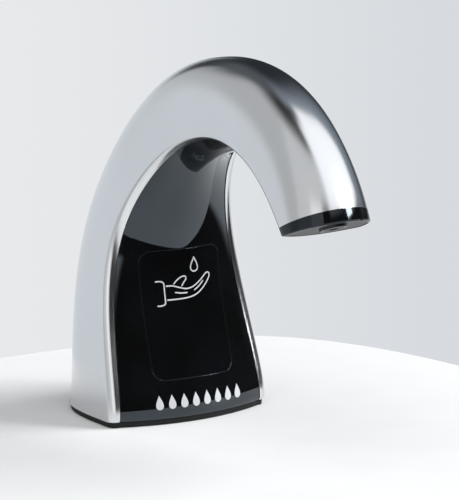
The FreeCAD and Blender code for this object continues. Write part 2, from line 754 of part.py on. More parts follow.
def pipe(path, radius):
    """A round bar along a path."""
    start = path.Edges[0].valueAt(path.Edges[0].FirstParameter)
    way = path.Edges[0].tangentAt(path.Edges[0].FirstParameter)
    ring = Part.Wire([Part.makeCircle(radius, start, way)])
    return path.makePipeShell([ring], True, True)


def make_soap_tube(doc, sheet, nozzle):
    """The tube from the connector's collar up through the shank and the arch to the nozzle body."""
    low = -sheet.get("shank_reach") - sheet.get("bushing_flange_thick")
    end = nozzle.multVec(Vector(0, 0, sheet.get("nozzle_length")))
    turn = nozzle.multVec(Vector(0, 0, sheet.get("nozzle_length") + TUBE_TURN))
    points = [(-sheet.get("tube_back"), low), *TUBE_CORNERS, (-turn.y, turn.z), (-end.y, end.z)]
    path = rounded_path(points)
    wall = pipe(path, sheet.get("tube_radius")).cut(pipe(path, sheet.get("tube_bore")))
    return feature(doc, "soap_tube", wall)


def make_tube_clips(doc):
    """Two clips on the inside of the arch's back, each an open ring on a stem with a glued pad."""
    clips = []
    for number, (height, back) in enumerate(CLIP_PLACES):
        ring = cylinder(doc, f"clip_{number}_ring", "<tube_radius> + <clip_wall>", "6",
                        ("0", "<tube_back>", str(height)))
        stem = box(doc, f"clip_{number}_stem", "4", f"{back} - <tube_back> - <tube_radius> - 1.6", "6",
                   ("-2", "<tube_back> + <tube_radius> + 1", str(height)))
        pad = box(doc, f"clip_{number}_pad", "12", "1.5", "9", ("-6", f"{back} - 1.5", f"{height} - 1.5"))
        low = f"{height} - 2"
        hole = cylinder(doc, f"clip_{number}_hole", "<tube_radius> + 0.05", "10", ("0", "<tube_back>", low))
        mouth = box(doc, f"clip_{number}_mouth", "4.4", "8", "10", ("-2.2", "<tube_back> - 8", low))
        blank = join(doc, f"clip_{number}_blank", ring, stem, pad)
        clips.append(cut(doc, f"clip_{number}", blank, hole, mouth))
    return group(doc, "tube_clips", *clips)


def nozzle_placement(arch):
    """The nozzle's frame: its origin on the end cap's face, its +Z up into the spout."""
    section = arch.section(arch.end)
    return Placement(section.point(0, arch.sheet.get("nozzle_offset")),
                     Rotation(Vector(1, 0, 0), -math.degrees(section.tilt)))


def make_nozzle(doc, nozzle):
    """The nozzle body, the check valve in it and the soft tip, all turned about the nozzle's axis."""
    proud = "<nozzle_proud>"
    body = turned_body(doc, "nozzle_body", (
        ("<chamber_radius>", "0"),
        ("<nozzle_radius>", "0"),
        ("<nozzle_radius>", f"{proud} + 2.4"),
        ("<nozzle_flange>", f"{proud} + 2.4"),
        ("<nozzle_flange>", f"{proud} + 4.4"),
        ("<nozzle_radius>", f"{proud} + 4.4"),
        ("<nozzle_radius>", f"{proud} + <nozzle_length>"),
        ("<barb_radius>", f"{proud} + <nozzle_length>"),
        ("<barb_radius>", f"{proud} + <nozzle_length> + <barb_length>"),
        ("<duct_radius>", f"{proud} + <nozzle_length> + <barb_length>"),
        ("<duct_radius>", f"{proud} + <chamber_length>"),
        ("<chamber_radius>", f"{proud} + <chamber_length>"),
    ))
    seal = doc.addObject("Part::Torus", "valve_seal")
    seal.setExpression("Radius1", bound("<seal_radius>"))
    seal.setExpression("Radius2", bound("<seal_wire>"))
    poppet = turned_body(doc, "valve_poppet", (
        ("0", "0"),
        ("<stem_radius>", "0"),
        ("<stem_radius>", "<stem_length>"),
        ("<poppet_radius>", "<stem_length>"),
        ("<poppet_radius>", "<stem_length> + <poppet_thick>"),
        ("0", "<stem_length> + <poppet_thick>"),
    ))
    plate = cylinder(doc, "retainer_disc", "<chamber_radius> - 0.03", "<retainer_thick>")
    holes = [cylinder(doc, "retainer_bore", "<stem_bore>", "5", ("0", "0", "-1"))]
    for number in range(4):
        angle = math.pi / 2 * number
        holes.append(cylinder(doc, f"retainer_port_{number}", "0.7", "5",
                              (f"{2.5 * math.cos(angle):.3f}", f"{2.5 * math.sin(angle):.3f}", "-1")))
    retainer = cut(doc, "spring_retainer", plate, *holes)
    tip = turned_body(doc, "nozzle_tip", (
        ("<outlet_radius>", "0"),
        ("<chamber_radius> - 0.03", "0"),
        ("<chamber_radius> - 0.03", f"{proud} + <retainer_low> - 0.05"),
        ("<outlet_radius> + 1", f"{proud} + <retainer_low> - 0.05"),
    ))
    sheet = doc.getObject(SHEET)
    disc_top = sheet.get("chamber_length") - 2 * sheet.get("seal_wire") - 0.05
    heights = (
        (body, -sheet.get("nozzle_proud")),
        (seal, sheet.get("chamber_length") - sheet.get("seal_wire") - 0.02),
        (poppet, disc_top - sheet.get("stem_length") - sheet.get("poppet_thick")),
        (retainer, sheet.get("retainer_low")),
        (tip, -sheet.get("nozzle_proud")),
    )
    for item, up in heights:
        item.Placement = nozzle.multiply(Placement(Vector(0, 0, up), Rotation()))
    spring_low = sheet.get("retainer_low") + sheet.get("retainer_thick")
    spring_top = disc_top - sheet.get("poppet_thick")
    spring = make_valve_spring(doc, sheet, spring_top - spring_low)
    clear = sheet.get("spring_wire") + 0.1
    spring.Placement = nozzle.multiply(Placement(Vector(0, 0, spring_low + clear), Rotation()))
    return body, seal, poppet, retainer, tip, spring


def make_valve_spring(doc, sheet, room):
    """The small coil spring of square wire between the retainer and the poppet."""
    half_wire, radius = sheet.get("spring_wire"), sheet.get("spring_radius")
    rise = room - 2 * half_wire - 0.2
    helix = Part.makeHelix(rise / SPRING_TURNS, rise, radius)
    square = ((-1, -1), (1, -1), (1, 1), (-1, 1))
    corners = [Vector(radius + half_wire * x, 0, half_wire * z) for x, z in square]
    ring = Part.makePolygon([*corners, corners[0]])
    return feature(doc, "valve_spring", Part.Wire(helix.Edges).makePipeShell([ring], True, True))


# The sensor behind the window


def forward_box(doc, name, length, depth, height, low):
    """A box given by its low x, its distance in front of the axis and its low z; depth runs forwards."""
    x, front, z = low
    return box(doc, name, length, depth, height, (x, f"-({front}) - ({depth})", z))


def forward_bar(doc, name, radius, length, x, front, z):
    """A cylinder that points forwards, from front to front + length."""
    return cylinder(doc, name, radius, length, (x, f"-({front})", z), Rotation(Vector(1, 0, 0), 90))


def make_sensor_bracket(doc):
    """The plastic frame that holds the board: a plate on two legs that stand on the flange."""
    half = "<board_half_width> + 1"
    height = "<board_top> - <bracket_low> + 1"
    plate = forward_box(doc, "bracket_plate", f"2 * ({half})", "<bracket_thick>", height,
                        (f"-({half})", "<bracket_front>", "<bracket_low>"))
    notch = forward_box(doc, "bracket_notch", "<notch_width>", "<bracket_thick> + 2", "<notch_height>",
                        ("-<notch_width> / 2", "<bracket_front> - 1", "<bracket_low> - 1"))
    legs = []
    flange_top = "<gasket_thick> + <plate_thick> + <flange_thick>"
    for side, low in (("left", f"-({half})"), ("right", f"{half} - <leg_width>")):
        legs.append(forward_box(doc, f"bracket_leg_{side}", "<leg_width>", "<bracket_thick> + 2",
                                "<bracket_low> - 4", (low, "<bracket_front> - 2", flange_top)))
    plate_face = "<bracket_front> + <bracket_thick>"
    posts = [forward_bar(doc, f"bracket_post_{number}", "2", f"<board_front> - ({plate_face}) + 0.2", x,
                         f"{plate_face} - 0.2", z)
             for number, (x, z) in enumerate(board_screw_places())]
    pilots = [forward_bar(doc, f"bracket_pilot_{number}", "0.75", "8", x, "<bracket_front> - 1", z)
              for number, (x, z) in enumerate(board_screw_places())]
    frame = join(doc, "bracket_blank", plate, *legs, *posts)
    return cut(doc, "sensor_bracket", frame, notch, *pilots)


def board_screw_places():
    """The board's four corner screws, as (x, z) expressions."""
    return [(f"{sign}(<board_half_width> - 2.5)", height)
            for sign in ("-", "") for height in ("<board_bottom> + 2.5", "<board_top> - 2.5")]


def make_sensor_board(doc):
    """The circuit board, with a hole in each corner."""
    blank = forward_box(doc, "board_blank", "2 * <board_half_width>", "<board_thick>",
                        "<board_top> - <board_bottom>",
                        ("-<board_half_width>", "<board_front>", "<board_bottom>"))
    holes = [forward_bar(doc, f"board_hole_{number}", "1.1", "8", x, "<board_front> - 2", z)
             for number, (x, z) in enumerate(board_screw_places())]
    return cut(doc, "sensor_board", blank, *holes)


def make_board_screws(doc):
    """Four small screws that hold the board on the bracket's posts."""
    screws = []
    for number, (x, z) in enumerate(board_screw_places()):
        shaft = forward_bar(doc, f"board_screw_{number}_shaft", "0.85", "<board_thick> + 3", x,
                            "<board_front> - 3", z)
        head = forward_bar(doc, f"board_screw_{number}_head", "1.7", "1.2", x,
                           "<board_front> + <board_thick>", z)
        screws.append(join(doc, f"board_screw_{number}", shaft, head))
    return group(doc, "board_screws", *screws)


def make_board_parts(doc):
    """What is soldered to the board: the controller with three small parts, the lamp and the connector."""
    face = "<board_front> + <board_thick>"
    chips = [forward_box(doc, "controller", "6", "1.2", "6", ("-3", face, "<board_bottom> + 3"))]
    for number in range(3):
        chips.append(forward_box(doc, f"small_part_{number}", "1.6", "0.8", "3",
                                 (str(5.5 + 2.6 * number), face, "<board_bottom> + 8")))
    lamp = forward_box(doc, "status_led", "3", "1.4", "1.6", ("-1.5", face, "<board_top> - 6"))
    connector = forward_box(doc, "board_connector", "8", "4", "6",
                            ("-4", "<board_front> - 4", f"{CABLE_TOP} + 6"))
    return group(doc, "board_chips", *chips), lamp, connector


def make_eye(doc, name, x):
    """A domed infrared part on the board that looks out through the window."""
    front = "<board_front> + <board_thick>"
    barrel = forward_bar(doc, name + "_barrel", "<eye_radius>", "<eye_length>", x, front, "<eye_up>")
    dome = doc.addObject("Part::Sphere", name + "_dome")
    dome.setExpression("Radius", bound("<eye_radius>"))
    place(dome, (x, f"-({front}) - <eye_length>", "<eye_up>"))
    clip = forward_box(doc, name + "_clip", "10", "10", "10",
                       (f"{x} - 5", f"{front} + <eye_length>", "<eye_up> - 5"))
    nose = doc.addObject("Part::Common", name + "_nose")
    nose.Base = dome
    nose.Tool = clip
    return join(doc, name, barrel, nose)


def make_light_baffle(doc):
    """The block round both infrared parts that keeps them apart."""
    face = "<board_front> + <board_thick>"
    block = forward_box(doc, "baffle_block", "2 * <eye_across> + 10", "<baffle_depth>", "9",
                        ("-<eye_across> - 5", face, "<eye_up> - 4.5"))
    bores = []
    for side, x in (("left", "-<eye_across>"), ("right", "<eye_across>")):
        bores.append(forward_bar(doc, f"baffle_bore_{side}", "<eye_radius> + 0.1", "2 * <baffle_depth>", x,
                                 "<board_front>", "<eye_up>"))
    return cut(doc, "light_baffle", block, *bores)


def make_cable(doc, sheet):
    """The cable plug under the board's connector, and the cable from it to the socket in the shank."""
    plug = forward_box(doc, "cable_plug", "7", "3.6", "6", ("-3.5", "<board_front> - 3.6", str(CABLE_TOP)))
    start = (CABLE_CORNERS[0][0], CABLE_TOP)
    end = (sheet.get("socket_front"),
           sheet.get("socket_length") - sheet.get("shank_reach") - sheet.get("bushing_flange_thick"))
    cable = pipe(rounded_path([start, *CABLE_CORNERS, end]), sheet.get("cable_radius"))
    return plug, feature(doc, "sensor_cable", cable)


def check(doc, parts):
    """Stop if any object failed or any sub-part is empty or broken."""
    for item in doc.Objects:
        if "Invalid" in item.State or "Error" in item.State:
            raise RuntimeError(f"{item.Label} failed: {item.State}")
    for item in parts:
        shape = item.Shape
        if shape.isNull() or not shape.isValid() or shape.Volume <= 0:
            raise RuntimeError(f"{item.Label} has no good solid")
        print(f"{item.Label}: {len(shape.Solids)} solid, {shape.Volume:.1f} mm3")


def main():
    doc = FreeCAD.newDocument("soap_spout")
    sheet = fill_sheet(doc)
    arch = Arch(sheet)
    nozzle = nozzle_placement(arch)
    parts = [
        make_arch_shell(doc, arch),
        *make_front_panel(doc, arch),
        make_end_cap(doc, arch, nozzle),
        make_base_gasket(doc, arch),
        make_base_plate(doc, arch),
        make_base_screws(doc),
        make_threaded_shank(doc),
        make_flange_screws(doc),
        *make_washers(doc),
        make_mounting_nut(doc),
        make_shank_bushing(doc),
        make_tube_connector(doc),
        make_cable_socket(doc),
        make_soap_tube(doc, sheet, nozzle),
        make_tube_clips(doc),
        *make_nozzle(doc, nozzle),
        make_sensor_bracket(doc),
        make_sensor_board(doc),
        make_board_screws(doc),
        *make_board_parts(doc),
        make_eye(doc, "ir_emitter", "-<eye_across>"),
        make_eye(doc, "ir_receiver", "<eye_across>"),
        make_light_baffle(doc),
        *make_cable(doc, sheet),
    ]
    doc.recompute()
    check(doc, parts)
    os.makedirs("parts", exist_ok=True)
    for item in parts:
        item.Shape.exportStep(os.path.join("parts", item.Label + ".step"))


main()
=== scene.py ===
"""The looks of a hands-free soap spout: a satin arch with a gloss black panel, clamped to a counter."""

import json
import math

import bpy
import numpy as np
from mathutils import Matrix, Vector


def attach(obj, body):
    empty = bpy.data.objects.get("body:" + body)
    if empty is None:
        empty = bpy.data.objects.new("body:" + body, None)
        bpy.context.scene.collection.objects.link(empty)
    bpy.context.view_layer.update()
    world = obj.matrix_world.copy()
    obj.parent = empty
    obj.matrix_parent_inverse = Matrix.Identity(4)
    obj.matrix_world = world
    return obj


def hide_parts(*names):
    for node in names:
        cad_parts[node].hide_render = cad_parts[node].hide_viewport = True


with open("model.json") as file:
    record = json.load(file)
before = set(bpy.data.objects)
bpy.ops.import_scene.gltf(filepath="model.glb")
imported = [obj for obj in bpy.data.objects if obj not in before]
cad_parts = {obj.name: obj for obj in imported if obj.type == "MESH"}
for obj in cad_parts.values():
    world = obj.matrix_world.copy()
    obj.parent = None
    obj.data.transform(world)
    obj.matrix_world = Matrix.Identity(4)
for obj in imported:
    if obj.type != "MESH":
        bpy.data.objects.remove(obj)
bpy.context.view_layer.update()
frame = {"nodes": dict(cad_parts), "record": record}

MM = 0.001

# The arch's sections, as in the CAD: how far forward and how high the middle of the rim plane is,
# which way the section runs back from it (degrees above straight forward), its half width and its
# depth, in mm.
STATIONS = np.array((
    (23.5, 2.5, 180.0, 39.1, 54.6),
    (18.5, 29.5, 185.5, 37.5, 49.3),
    (12.0, 77.0, 172.0, 30.4, 38.5),
    (35.5, 115.0, 128.5, 19.1, 34.4),
    (72.5, 123.4, 86.0, 17.8, 30.6),
    (99.2, 111.0, 51.0, 18.4, 25.5),
    (115.8, 93.0, 21.0, 19.0, 18.6),
))
TIP = len(STATIONS) - 1.0

# At the foot, halfway and at the tip: the rim beside the panel, the exponent of the section's
# superellipse, and the crown of the panel's face.
RIM_WIDTH = (4.0, 3.5, 0.6)
RIM_DEPTH = (3.7, 2.2, 2.4)
SQUARE = (3.4, 2.75, 2.1)
BULGE = (7.4, 6.65, 5.9)

# Sizes in mm; CAP_START and CAP_FACE are places along the arch, counted in sections.
WALL = 2.2
LEDGE = 1.2
PANEL_THICK = 2.0
PANEL_GAP = 0.3
PANEL_RECESS = 0.3
SEAT = PANEL_THICK + PANEL_RECESS + 0.1
CAP_START = 5.82
CAP_FACE = 5.92
CAP_WALL = 1.8
WINDOW_HALF = 19.8
WINDOW_LOW = 18.5
WINDOW_HIGH = 71.0
WINDOW_CORNER = 5.0
WINDOW_GAP = 0.12
GASKET_THICK = 2.5
GASKET_INSET = 0.6
COLLAR_RADIUS = 14.0
NOZZLE_OFFSET = 8.6
NOZZLE_HOLE = 5.6
BOSS_RADIUS = 4.5
BOSS_PILOT = 1.35
BOSS_LOW = 6.5
BOSS_HIGH = 21.5
BOSS_ACROSS = 28.5
BOSS_BACK = 8.0
LIP_CHAMFER = 0.45
LIP_WIDTH = 1.0
FACE_RECESS = 0.2
COUNTER_THICK = 15.0
SHANK_RADIUS = 13.0
SHANK_BORE = 9.5
SHANK_REACH = 58.0
COLLAR_REACH = 4.0
NECK_RADIUS = 13.8
FLANGE_RADIUS = 21.0
FLANGE_LOW = 6.5
FLANGE_HIGH = 9.5
THREAD_PITCH = 2.0
THREAD_DEPTH = 0.75
NUT_RADIUS = 18.0
NUT_BORE = 13.06
NUT_HEIGHT = 11.0
NUT_TOP = -20.05
WING_REACH = 29.0
WINGS = 3
FLUTES = 36
FLUTE_DEPTH = 0.45


# The arch's geometry


def slopes_through(rows):
    """The slope at each row of a smooth curve through the rows, one step apart."""
    end = np.array((-11, 18, -9, 2)) / 6
    matrix = np.eye(len(rows))
    right = np.empty_like(rows)
    right[0] = end @ rows[:4]
    right[-1] = -end @ rows[:-5:-1]
    for i in range(1, len(rows) - 1):
        matrix[i, i - 1:i + 2] = (1, 4, 1)
        right[i] = 3 * (rows[i + 1] - rows[i - 1])
    return np.linalg.solve(matrix, right)


SLOPES = slopes_through(STATIONS)


def through_three(values, share):
    """A quadratic that has the three values at shares 0, 0.5 and 1."""
    low, middle, high = values
    rest = 1 - share
    return low * rest * (1 - 2 * share) + middle * 4 * share * rest + high * share * (2 * share - 1)


class Section:
    """The arch's cross-section at one place along it, or at an array of places.
    In a section x runs across, and n runs from the rim plane towards the back."""

    def __init__(self, along):
        along = np.asarray(along, float)
        step = np.clip(np.floor(along).astype(int), 0, len(STATIONS) - 2)
        u = (along - step)[..., None]
        row = ((1 + 2 * u) * (1 - u) ** 2 * STATIONS[step] + u * (1 - u) ** 2 * SLOPES[step]
               + u * u * (3 - 2 * u) * STATIONS[step + 1] + u * u * (u - 1) * SLOPES[step + 1])
        self.forward, self.height, tilt, self.half, self.depth = np.moveaxis(row, -1, 0)
        self.tilt = np.radians(tilt)
        share = along / TIP
        self.rim_width = through_three(RIM_WIDTH, share)
        self.rim_depth = through_three(RIM_DEPTH, share)
        self.square = through_three(SQUARE, share)
        self.bulge = through_three(BULGE, share)
        self.lip = self.half - self.rim_width

    def point(self, x, n):
        """Points in the row frame, in mm."""
        forward = self.forward + np.cos(self.tilt) * n
        return np.stack(np.broadcast_arrays(x, -forward, self.height + np.sin(self.tilt) * n), -1)

    def oval(self, half, low, high, angle):
        """Half a superellipse from x = half, round the back at n = high, to x = -half."""
        across, back = np.cos(angle), np.sin(angle)
        power = np.abs(across / half) ** self.square + np.abs(back / (high - low)) ** self.square
        reach = power ** (1 / self.square)
        return across / reach, low + back / reach

    def rim(self, angle):
        """The rim's quarter ellipse, from the lip at angle 0 to the side wall at a quarter turn."""
        return self.lip + self.rim_width * np.sin(angle), self.rim_depth * (1 - np.cos(angle))

    def face(self, x):
        """Where along n the crowned face lies at x."""
        return -self.bulge * (1 - (x / self.lip) ** 2)


def steps(first, last, size):
    """Places from first to last, about size apart."""
    return np.linspace(first, last, max(1, round((last - first) / size)) + 1)


def smooth_step(value):
    value = np.clip(value, 0, 1)
    return value * value * (3 - 2 * value)


# Meshes


def ring_faces(rings, around, first=0, closed=False):
    """Quads between rings of points that each close on themselves.
    closed joins the last ring to the first."""
    faces = []
    for i in range(rings if closed else rings - 1):
        low, high = first + i * around, first + (i + 1) % rings * around
        for j in range(around):
            k = (j + 1) % around
            faces.append((low + j, low + k, high + k, high + j))
    return faces


def make_piece(name, points, faces, material, body="spout", slot=None, stands_for=(), bevel=0.0, sharp=40):
    """A smooth-shaded mesh from points in mm, which rides on a body."""
    mesh = bpy.data.meshes.new(name)
    mesh.from_pydata((np.asarray(points).reshape(-1, 3) * MM).tolist(), [], faces)
    mesh.validate()
    mesh.materials.append(material)
    piece = bpy.data.objects.new(name, mesh)
    bpy.context.scene.collection.objects.link(piece)
    face_outwards(mesh)
    mesh.shade_smooth()
    if bevel:
        add_bevel(piece, bevel, sharp)
    else:
        mesh.set_sharp_from_angle(angle=math.radians(sharp))
    if body:
        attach(piece, body)
    if stands_for:
        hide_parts(*stands_for)
    return piece


def face_outwards(mesh):
    """Turn a closed mesh's faces outwards, by the sign of its volume."""
    mesh.calc_loop_triangles()
    corners = np.array([[mesh.vertices[i].co for i in t.vertices] for t in mesh.loop_triangles])
    volume = np.einsum("ij,ij->i", corners[:, 0], np.cross(corners[:, 1], corners[:, 2])).sum()
    if volume < 0:
        mesh.flip_normals()


def add_bevel(piece, width, sharp, segments=3):
    """Round the edges that are sharper than the given angle; width in mm."""
    bevel = piece.modifiers.new("rounded_edges", "BEVEL")
    bevel.width = width * MM
    bevel.segments = segments
    bevel.limit_method = "ANGLE"
    bevel.angle_limit = math.radians(sharp)
    bevel.miter_outer = "MITER_ARC"
    bevel.use_clamp_overlap = True
    bevel.harden_normals = True


def turned(name, outline, material, place, count=48, **keywords):
    """A piece turned about an upright axis at place; outline is its closed (radius, height) section."""
    angle = 2 * math.pi * np.arange(count) / count
    rings = [[(r * math.cos(a), r * math.sin(a), z) for a in angle] for r, z in outline]
    points = np.array(rings) + np.array(place)
    return make_piece(name, points, ring_faces(len(outline), count, closed=True), material, **keywords)


# Materials


class Nodes:
    """A short way to write a node tree."""

    def __init__(self, tree):
        self.tree = tree
        tree.nodes.clear()

    def add(self, kind, settings=None, **inputs):
        node = self.tree.nodes.new(kind)
        for name, value in (settings or {}).items():
            setattr(node, name, value)
        for name, value in inputs.items():
            self.put(node, name.replace("_", " "), value)
        return node

    def put(self, node, socket, value):
        """Set a socket to a value, or link it to another node's output."""
        target = node.inputs[int(socket) if socket.isdigit() else socket]
        if isinstance(value, bpy.types.NodeSocket):
            self.tree.links.new(value, target)
        else:
            target.default_value = value

    def math(self, operation, *values):
        node = self.add("ShaderNodeMath", {"operation": operation})
        for i, value in enumerate(values):
            self.put(node, str(i), value)
        return node.outputs[0]

    def mix(self, share, low, high):
        """A colour between two colours."""
        node = self.add("ShaderNodeMix", {"data_type": "RGBA"})
        self.put(node, "0", share)
        self.put(node, "6", low)
        self.put(node, "7", high)
        return node.outputs[2]

    def remap(self, value, low, high, to_low, to_high, smooth=False):
        kind = "SMOOTHSTEP" if smooth else "LINEAR"
        node = self.add("ShaderNodeMapRange", {"interpolation_type": kind})
        for name, number in zip(("Value", "From Min", "From Max", "To Min", "To Max"),
                                (value, low, high, to_low, to_high)):
            self.put(node, name, number)
        return node.outputs[0]

    def noise(self, place, scale, detail=2.0):
        return self.add("ShaderNodeTexNoise", Vector=place, Scale=scale, Detail=detail).outputs["Fac"]


def grey(value, blue=0.0):
    """A grey, slightly blue if blue is above 0."""
    return (value * (1 - blue), value, value * (1 + blue), 1.0)


# What the gloss black plastic does to the light that it reflects.
COOL = (0.76, 0.89, 1.0, 1.0)


def make_material(name, low, high, rough, grain, bump, metallic=0.0, ior=1.5, patch=40.0, wave=0.0,
                  extra=None):
    """A material with patches of two near colours, roughness that varies, and a fine grain.
    rough gives the lowest and highest roughness; grain and patch are sizes in features per metre."""
    material = bpy.data.materials.new(name)
    material.use_nodes = True
    nodes = Nodes(material.node_tree)
    place = nodes.add("ShaderNodeTexCoord").outputs["Object"]
    patches = nodes.remap(nodes.noise(place, patch, 3.0), 0.35, 0.65, 0.0, 1.0)
    fine = nodes.noise(place, grain, 2.0)
    shader = nodes.add("ShaderNodeBsdfPrincipled", Metallic=metallic, IOR=ior)
    nodes.put(shader, "Base Color", nodes.mix(patches, low, high))
    nodes.put(shader, "Roughness", nodes.remap(fine, 0.3, 0.7, rough[0], rough[1]))
    ripple = nodes.add("ShaderNodeBump", Strength=bump, Distance=0.0002, Height=fine).outputs[0]
    if wave:
        swell = nodes.noise(place, 28.0, 0.0)
        ripple = nodes.add("ShaderNodeBump", Strength=wave, Distance=0.002, Height=swell,
                           Normal=ripple).outputs[0]
    nodes.put(shader, "Normal", ripple)
    for socket, value in (extra or {}).items():
        nodes.put(shader, socket, value)
    output = nodes.add("ShaderNodeOutputMaterial")
    nodes.put(output, "Surface", shader.outputs[0])
    return material


# Every finish: two near colours, the roughness, the grain, how much the grain shows, and what else
# it needs. Each has the name of its slot in the record, but for cap_matt on the cap's face and
# panel_print on the printed marks.
FINISHES = {
    "satin_chrome": dict(low=grey(0.7, 0.012), high=grey(0.735, 0.016), rough=(0.19, 0.23), grain=5200.0,
        bump=0.035, metallic=1.0, patch=22.0),
    "gloss_black": dict(low=grey(0.0025), high=grey(0.0045, 0.1), rough=(0.02, 0.035), grain=900.0,
        bump=0.004, ior=1.72, wave=0.012, extra={"Specular Tint": COOL}),
    "window_black": dict(low=grey(0.0022), high=grey(0.004, 0.2), rough=(0.015, 0.03), grain=900.0,
        bump=0.004, ior=1.72, wave=0.012, extra={"Specular Tint": COOL}),
    "cap_black": dict(low=grey(0.003), high=grey(0.005, 0.1), rough=(0.05, 0.08), grain=1500.0,
        bump=0.01, ior=1.5, wave=0.01, extra={"Specular Tint": COOL}),
    "gasket_rubber": dict(low=grey(0.01), high=grey(0.016, 0.1), rough=(0.6, 0.8), grain=2600.0,
        bump=0.35, extra={"Specular IOR Level": 0.25}),
    "cast_plate": dict(low=grey(0.4), high=grey(0.52), rough=(0.38, 0.55), grain=1600.0, bump=0.5,
        metallic=1.0),
    "screw_steel": dict(low=grey(0.55), high=grey(0.66), rough=(0.25, 0.38), grain=2400.0, bump=0.1,
        metallic=1.0),
    "shank_brass": dict(low=(0.62, 0.44, 0.19, 1), high=(0.74, 0.55, 0.27, 1), rough=(0.24, 0.36),
        grain=1800.0, bump=0.12, metallic=1.0),
    "washer_rubber": dict(low=grey(0.02), high=grey(0.035), rough=(0.6, 0.8), grain=2200.0, bump=0.4),
    "washer_steel": dict(low=grey(0.55, 0.02), high=grey(0.68, 0.03), rough=(0.26, 0.42), grain=1500.0,
        bump=0.15, metallic=1.0, patch=120.0),
    "nut_plastic": dict(low=grey(0.035), high=grey(0.05), rough=(0.42, 0.55), grain=2600.0, bump=0.25),
    "bushing_plastic": dict(low=grey(0.06), high=grey(0.08), rough=(0.4, 0.5), grain=2400.0, bump=0.2),
    "connector_plastic": dict(low=grey(0.66), high=grey(0.74), rough=(0.32, 0.42), grain=2200.0,
        bump=0.1),
    "socket_plastic": dict(low=grey(0.03), high=grey(0.045), rough=(0.35, 0.45), grain=2400.0, bump=0.15),
    "tube_plastic": dict(low=grey(0.72), high=grey(0.8), rough=(0.2, 0.3), grain=1800.0, bump=0.05,
        extra={"Subsurface Weight": 0.3, "Subsurface Scale": 0.002}),
    "clip_plastic": dict(low=grey(0.6), high=grey(0.68), rough=(0.4, 0.5), grain=2200.0, bump=0.15),
    "nozzle_plastic": dict(low=grey(0.012), high=grey(0.02, 0.1), rough=(0.3, 0.42), grain=2400.0,
        bump=0.12),
    "seal_rubber": dict(low=grey(0.03), high=grey(0.05), rough=(0.5, 0.65), grain=3000.0, bump=0.2),
    "poppet_plastic": dict(low=grey(0.7), high=grey(0.78), rough=(0.3, 0.4), grain=2600.0, bump=0.1),
    "retainer_plastic": dict(low=grey(0.5), high=grey(0.58), rough=(0.35, 0.45), grain=2600.0, bump=0.1),
    "tip_rubber": dict(low=grey(0.03), high=grey(0.045, 0.1), rough=(0.5, 0.62), grain=2600.0, bump=0.2),
    "spring_steel": dict(low=grey(0.6), high=grey(0.7), rough=(0.18, 0.28), grain=3000.0, bump=0.06,
        metallic=1.0),
    "bracket_plastic": dict(low=grey(0.04), high=grey(0.055), rough=(0.45, 0.6), grain=2400.0, bump=0.25),
    "board_green": dict(low=(0.008, 0.07, 0.03, 1), high=(0.015, 0.11, 0.05, 1), rough=(0.3, 0.4),
        grain=2400.0, bump=0.1, patch=300.0),
    "chip_plastic": dict(low=grey(0.02), high=grey(0.03), rough=(0.5, 0.62), grain=4000.0, bump=0.2),
    "led_lens": dict(low=(0.55, 0.04, 0.03, 1), high=(0.65, 0.07, 0.05, 1), rough=(0.08, 0.15),
        grain=2000.0, bump=0.03),
    "plug_plastic": dict(low=(0.72, 0.69, 0.6, 1), high=(0.78, 0.76, 0.68, 1), rough=(0.4, 0.5),
        grain=2600.0, bump=0.12),
    "eye_lens": dict(low=(0.25, 0.33, 0.5, 1), high=(0.3, 0.4, 0.58, 1), rough=(0.05, 0.1), grain=2000.0,
        bump=0.02),
    "eye_dark": dict(low=grey(0.012, 0.3), high=grey(0.02, 0.3), rough=(0.05, 0.1), grain=2000.0,
        bump=0.02),
    "baffle_plastic": dict(low=grey(0.015), high=grey(0.022), rough=(0.6, 0.75), grain=2600.0, bump=0.3),
    "cable_jacket": dict(low=grey(0.03), high=grey(0.045), rough=(0.45, 0.6), grain=2600.0, bump=0.2),
    "cap_matt": dict(low=grey(0.035, 0.04), high=grey(0.05, 0.06), rough=(0.42, 0.5), grain=1500.0,
        bump=0.05, ior=1.3),
    "panel_print": dict(low=grey(0.55, 0.02), high=grey(0.62, 0.03), rough=(0.4, 0.55), grain=2600.0,
        bump=0.1),
}


def make_materials():
    return {name: make_material(name, **finish) for name, finish in FINISHES.items()}


# The shell


def shell_profile(section):
    """The closed outline of the shell's wall in a section: rims and outside, then ledges and inside."""
    rim_angle = np.linspace(0, math.pi / 2, 11)
    back_angle = np.linspace(0, math.pi, 85)[1:-1]
    inside_angle = np.linspace(0, math.pi, 94)
    rim_x, rim_n = section.rim(rim_angle)
    outer_x, outer_n = section.oval(section.half, section.rim_depth, section.depth, back_angle)
    inner = section.lip - LEDGE
    inner_x, inner_n = section.oval(inner, SEAT, section.depth - WALL, inside_angle)
    gap_n = np.broadcast_to(np.linspace(0, SEAT, 5)[1:], section.lip.shape[:1] + (4,))
    gap_x = np.broadcast_to(section.lip, gap_n.shape)
    ledge_x = section.lip - LEDGE / 2
    ledge_n = np.full_like(ledge_x, SEAT)
    x = np.hstack((rim_x, outer_x, -rim_x[:, ::-1], -gap_x, -ledge_x, -inner_x, ledge_x, gap_x[:, ::-1]))
    n = np.hstack((rim_n, outer_n, rim_n[:, ::-1], gap_n, ledge_n, inner_n, ledge_n, gap_n[:, ::-1]))
    return x, n


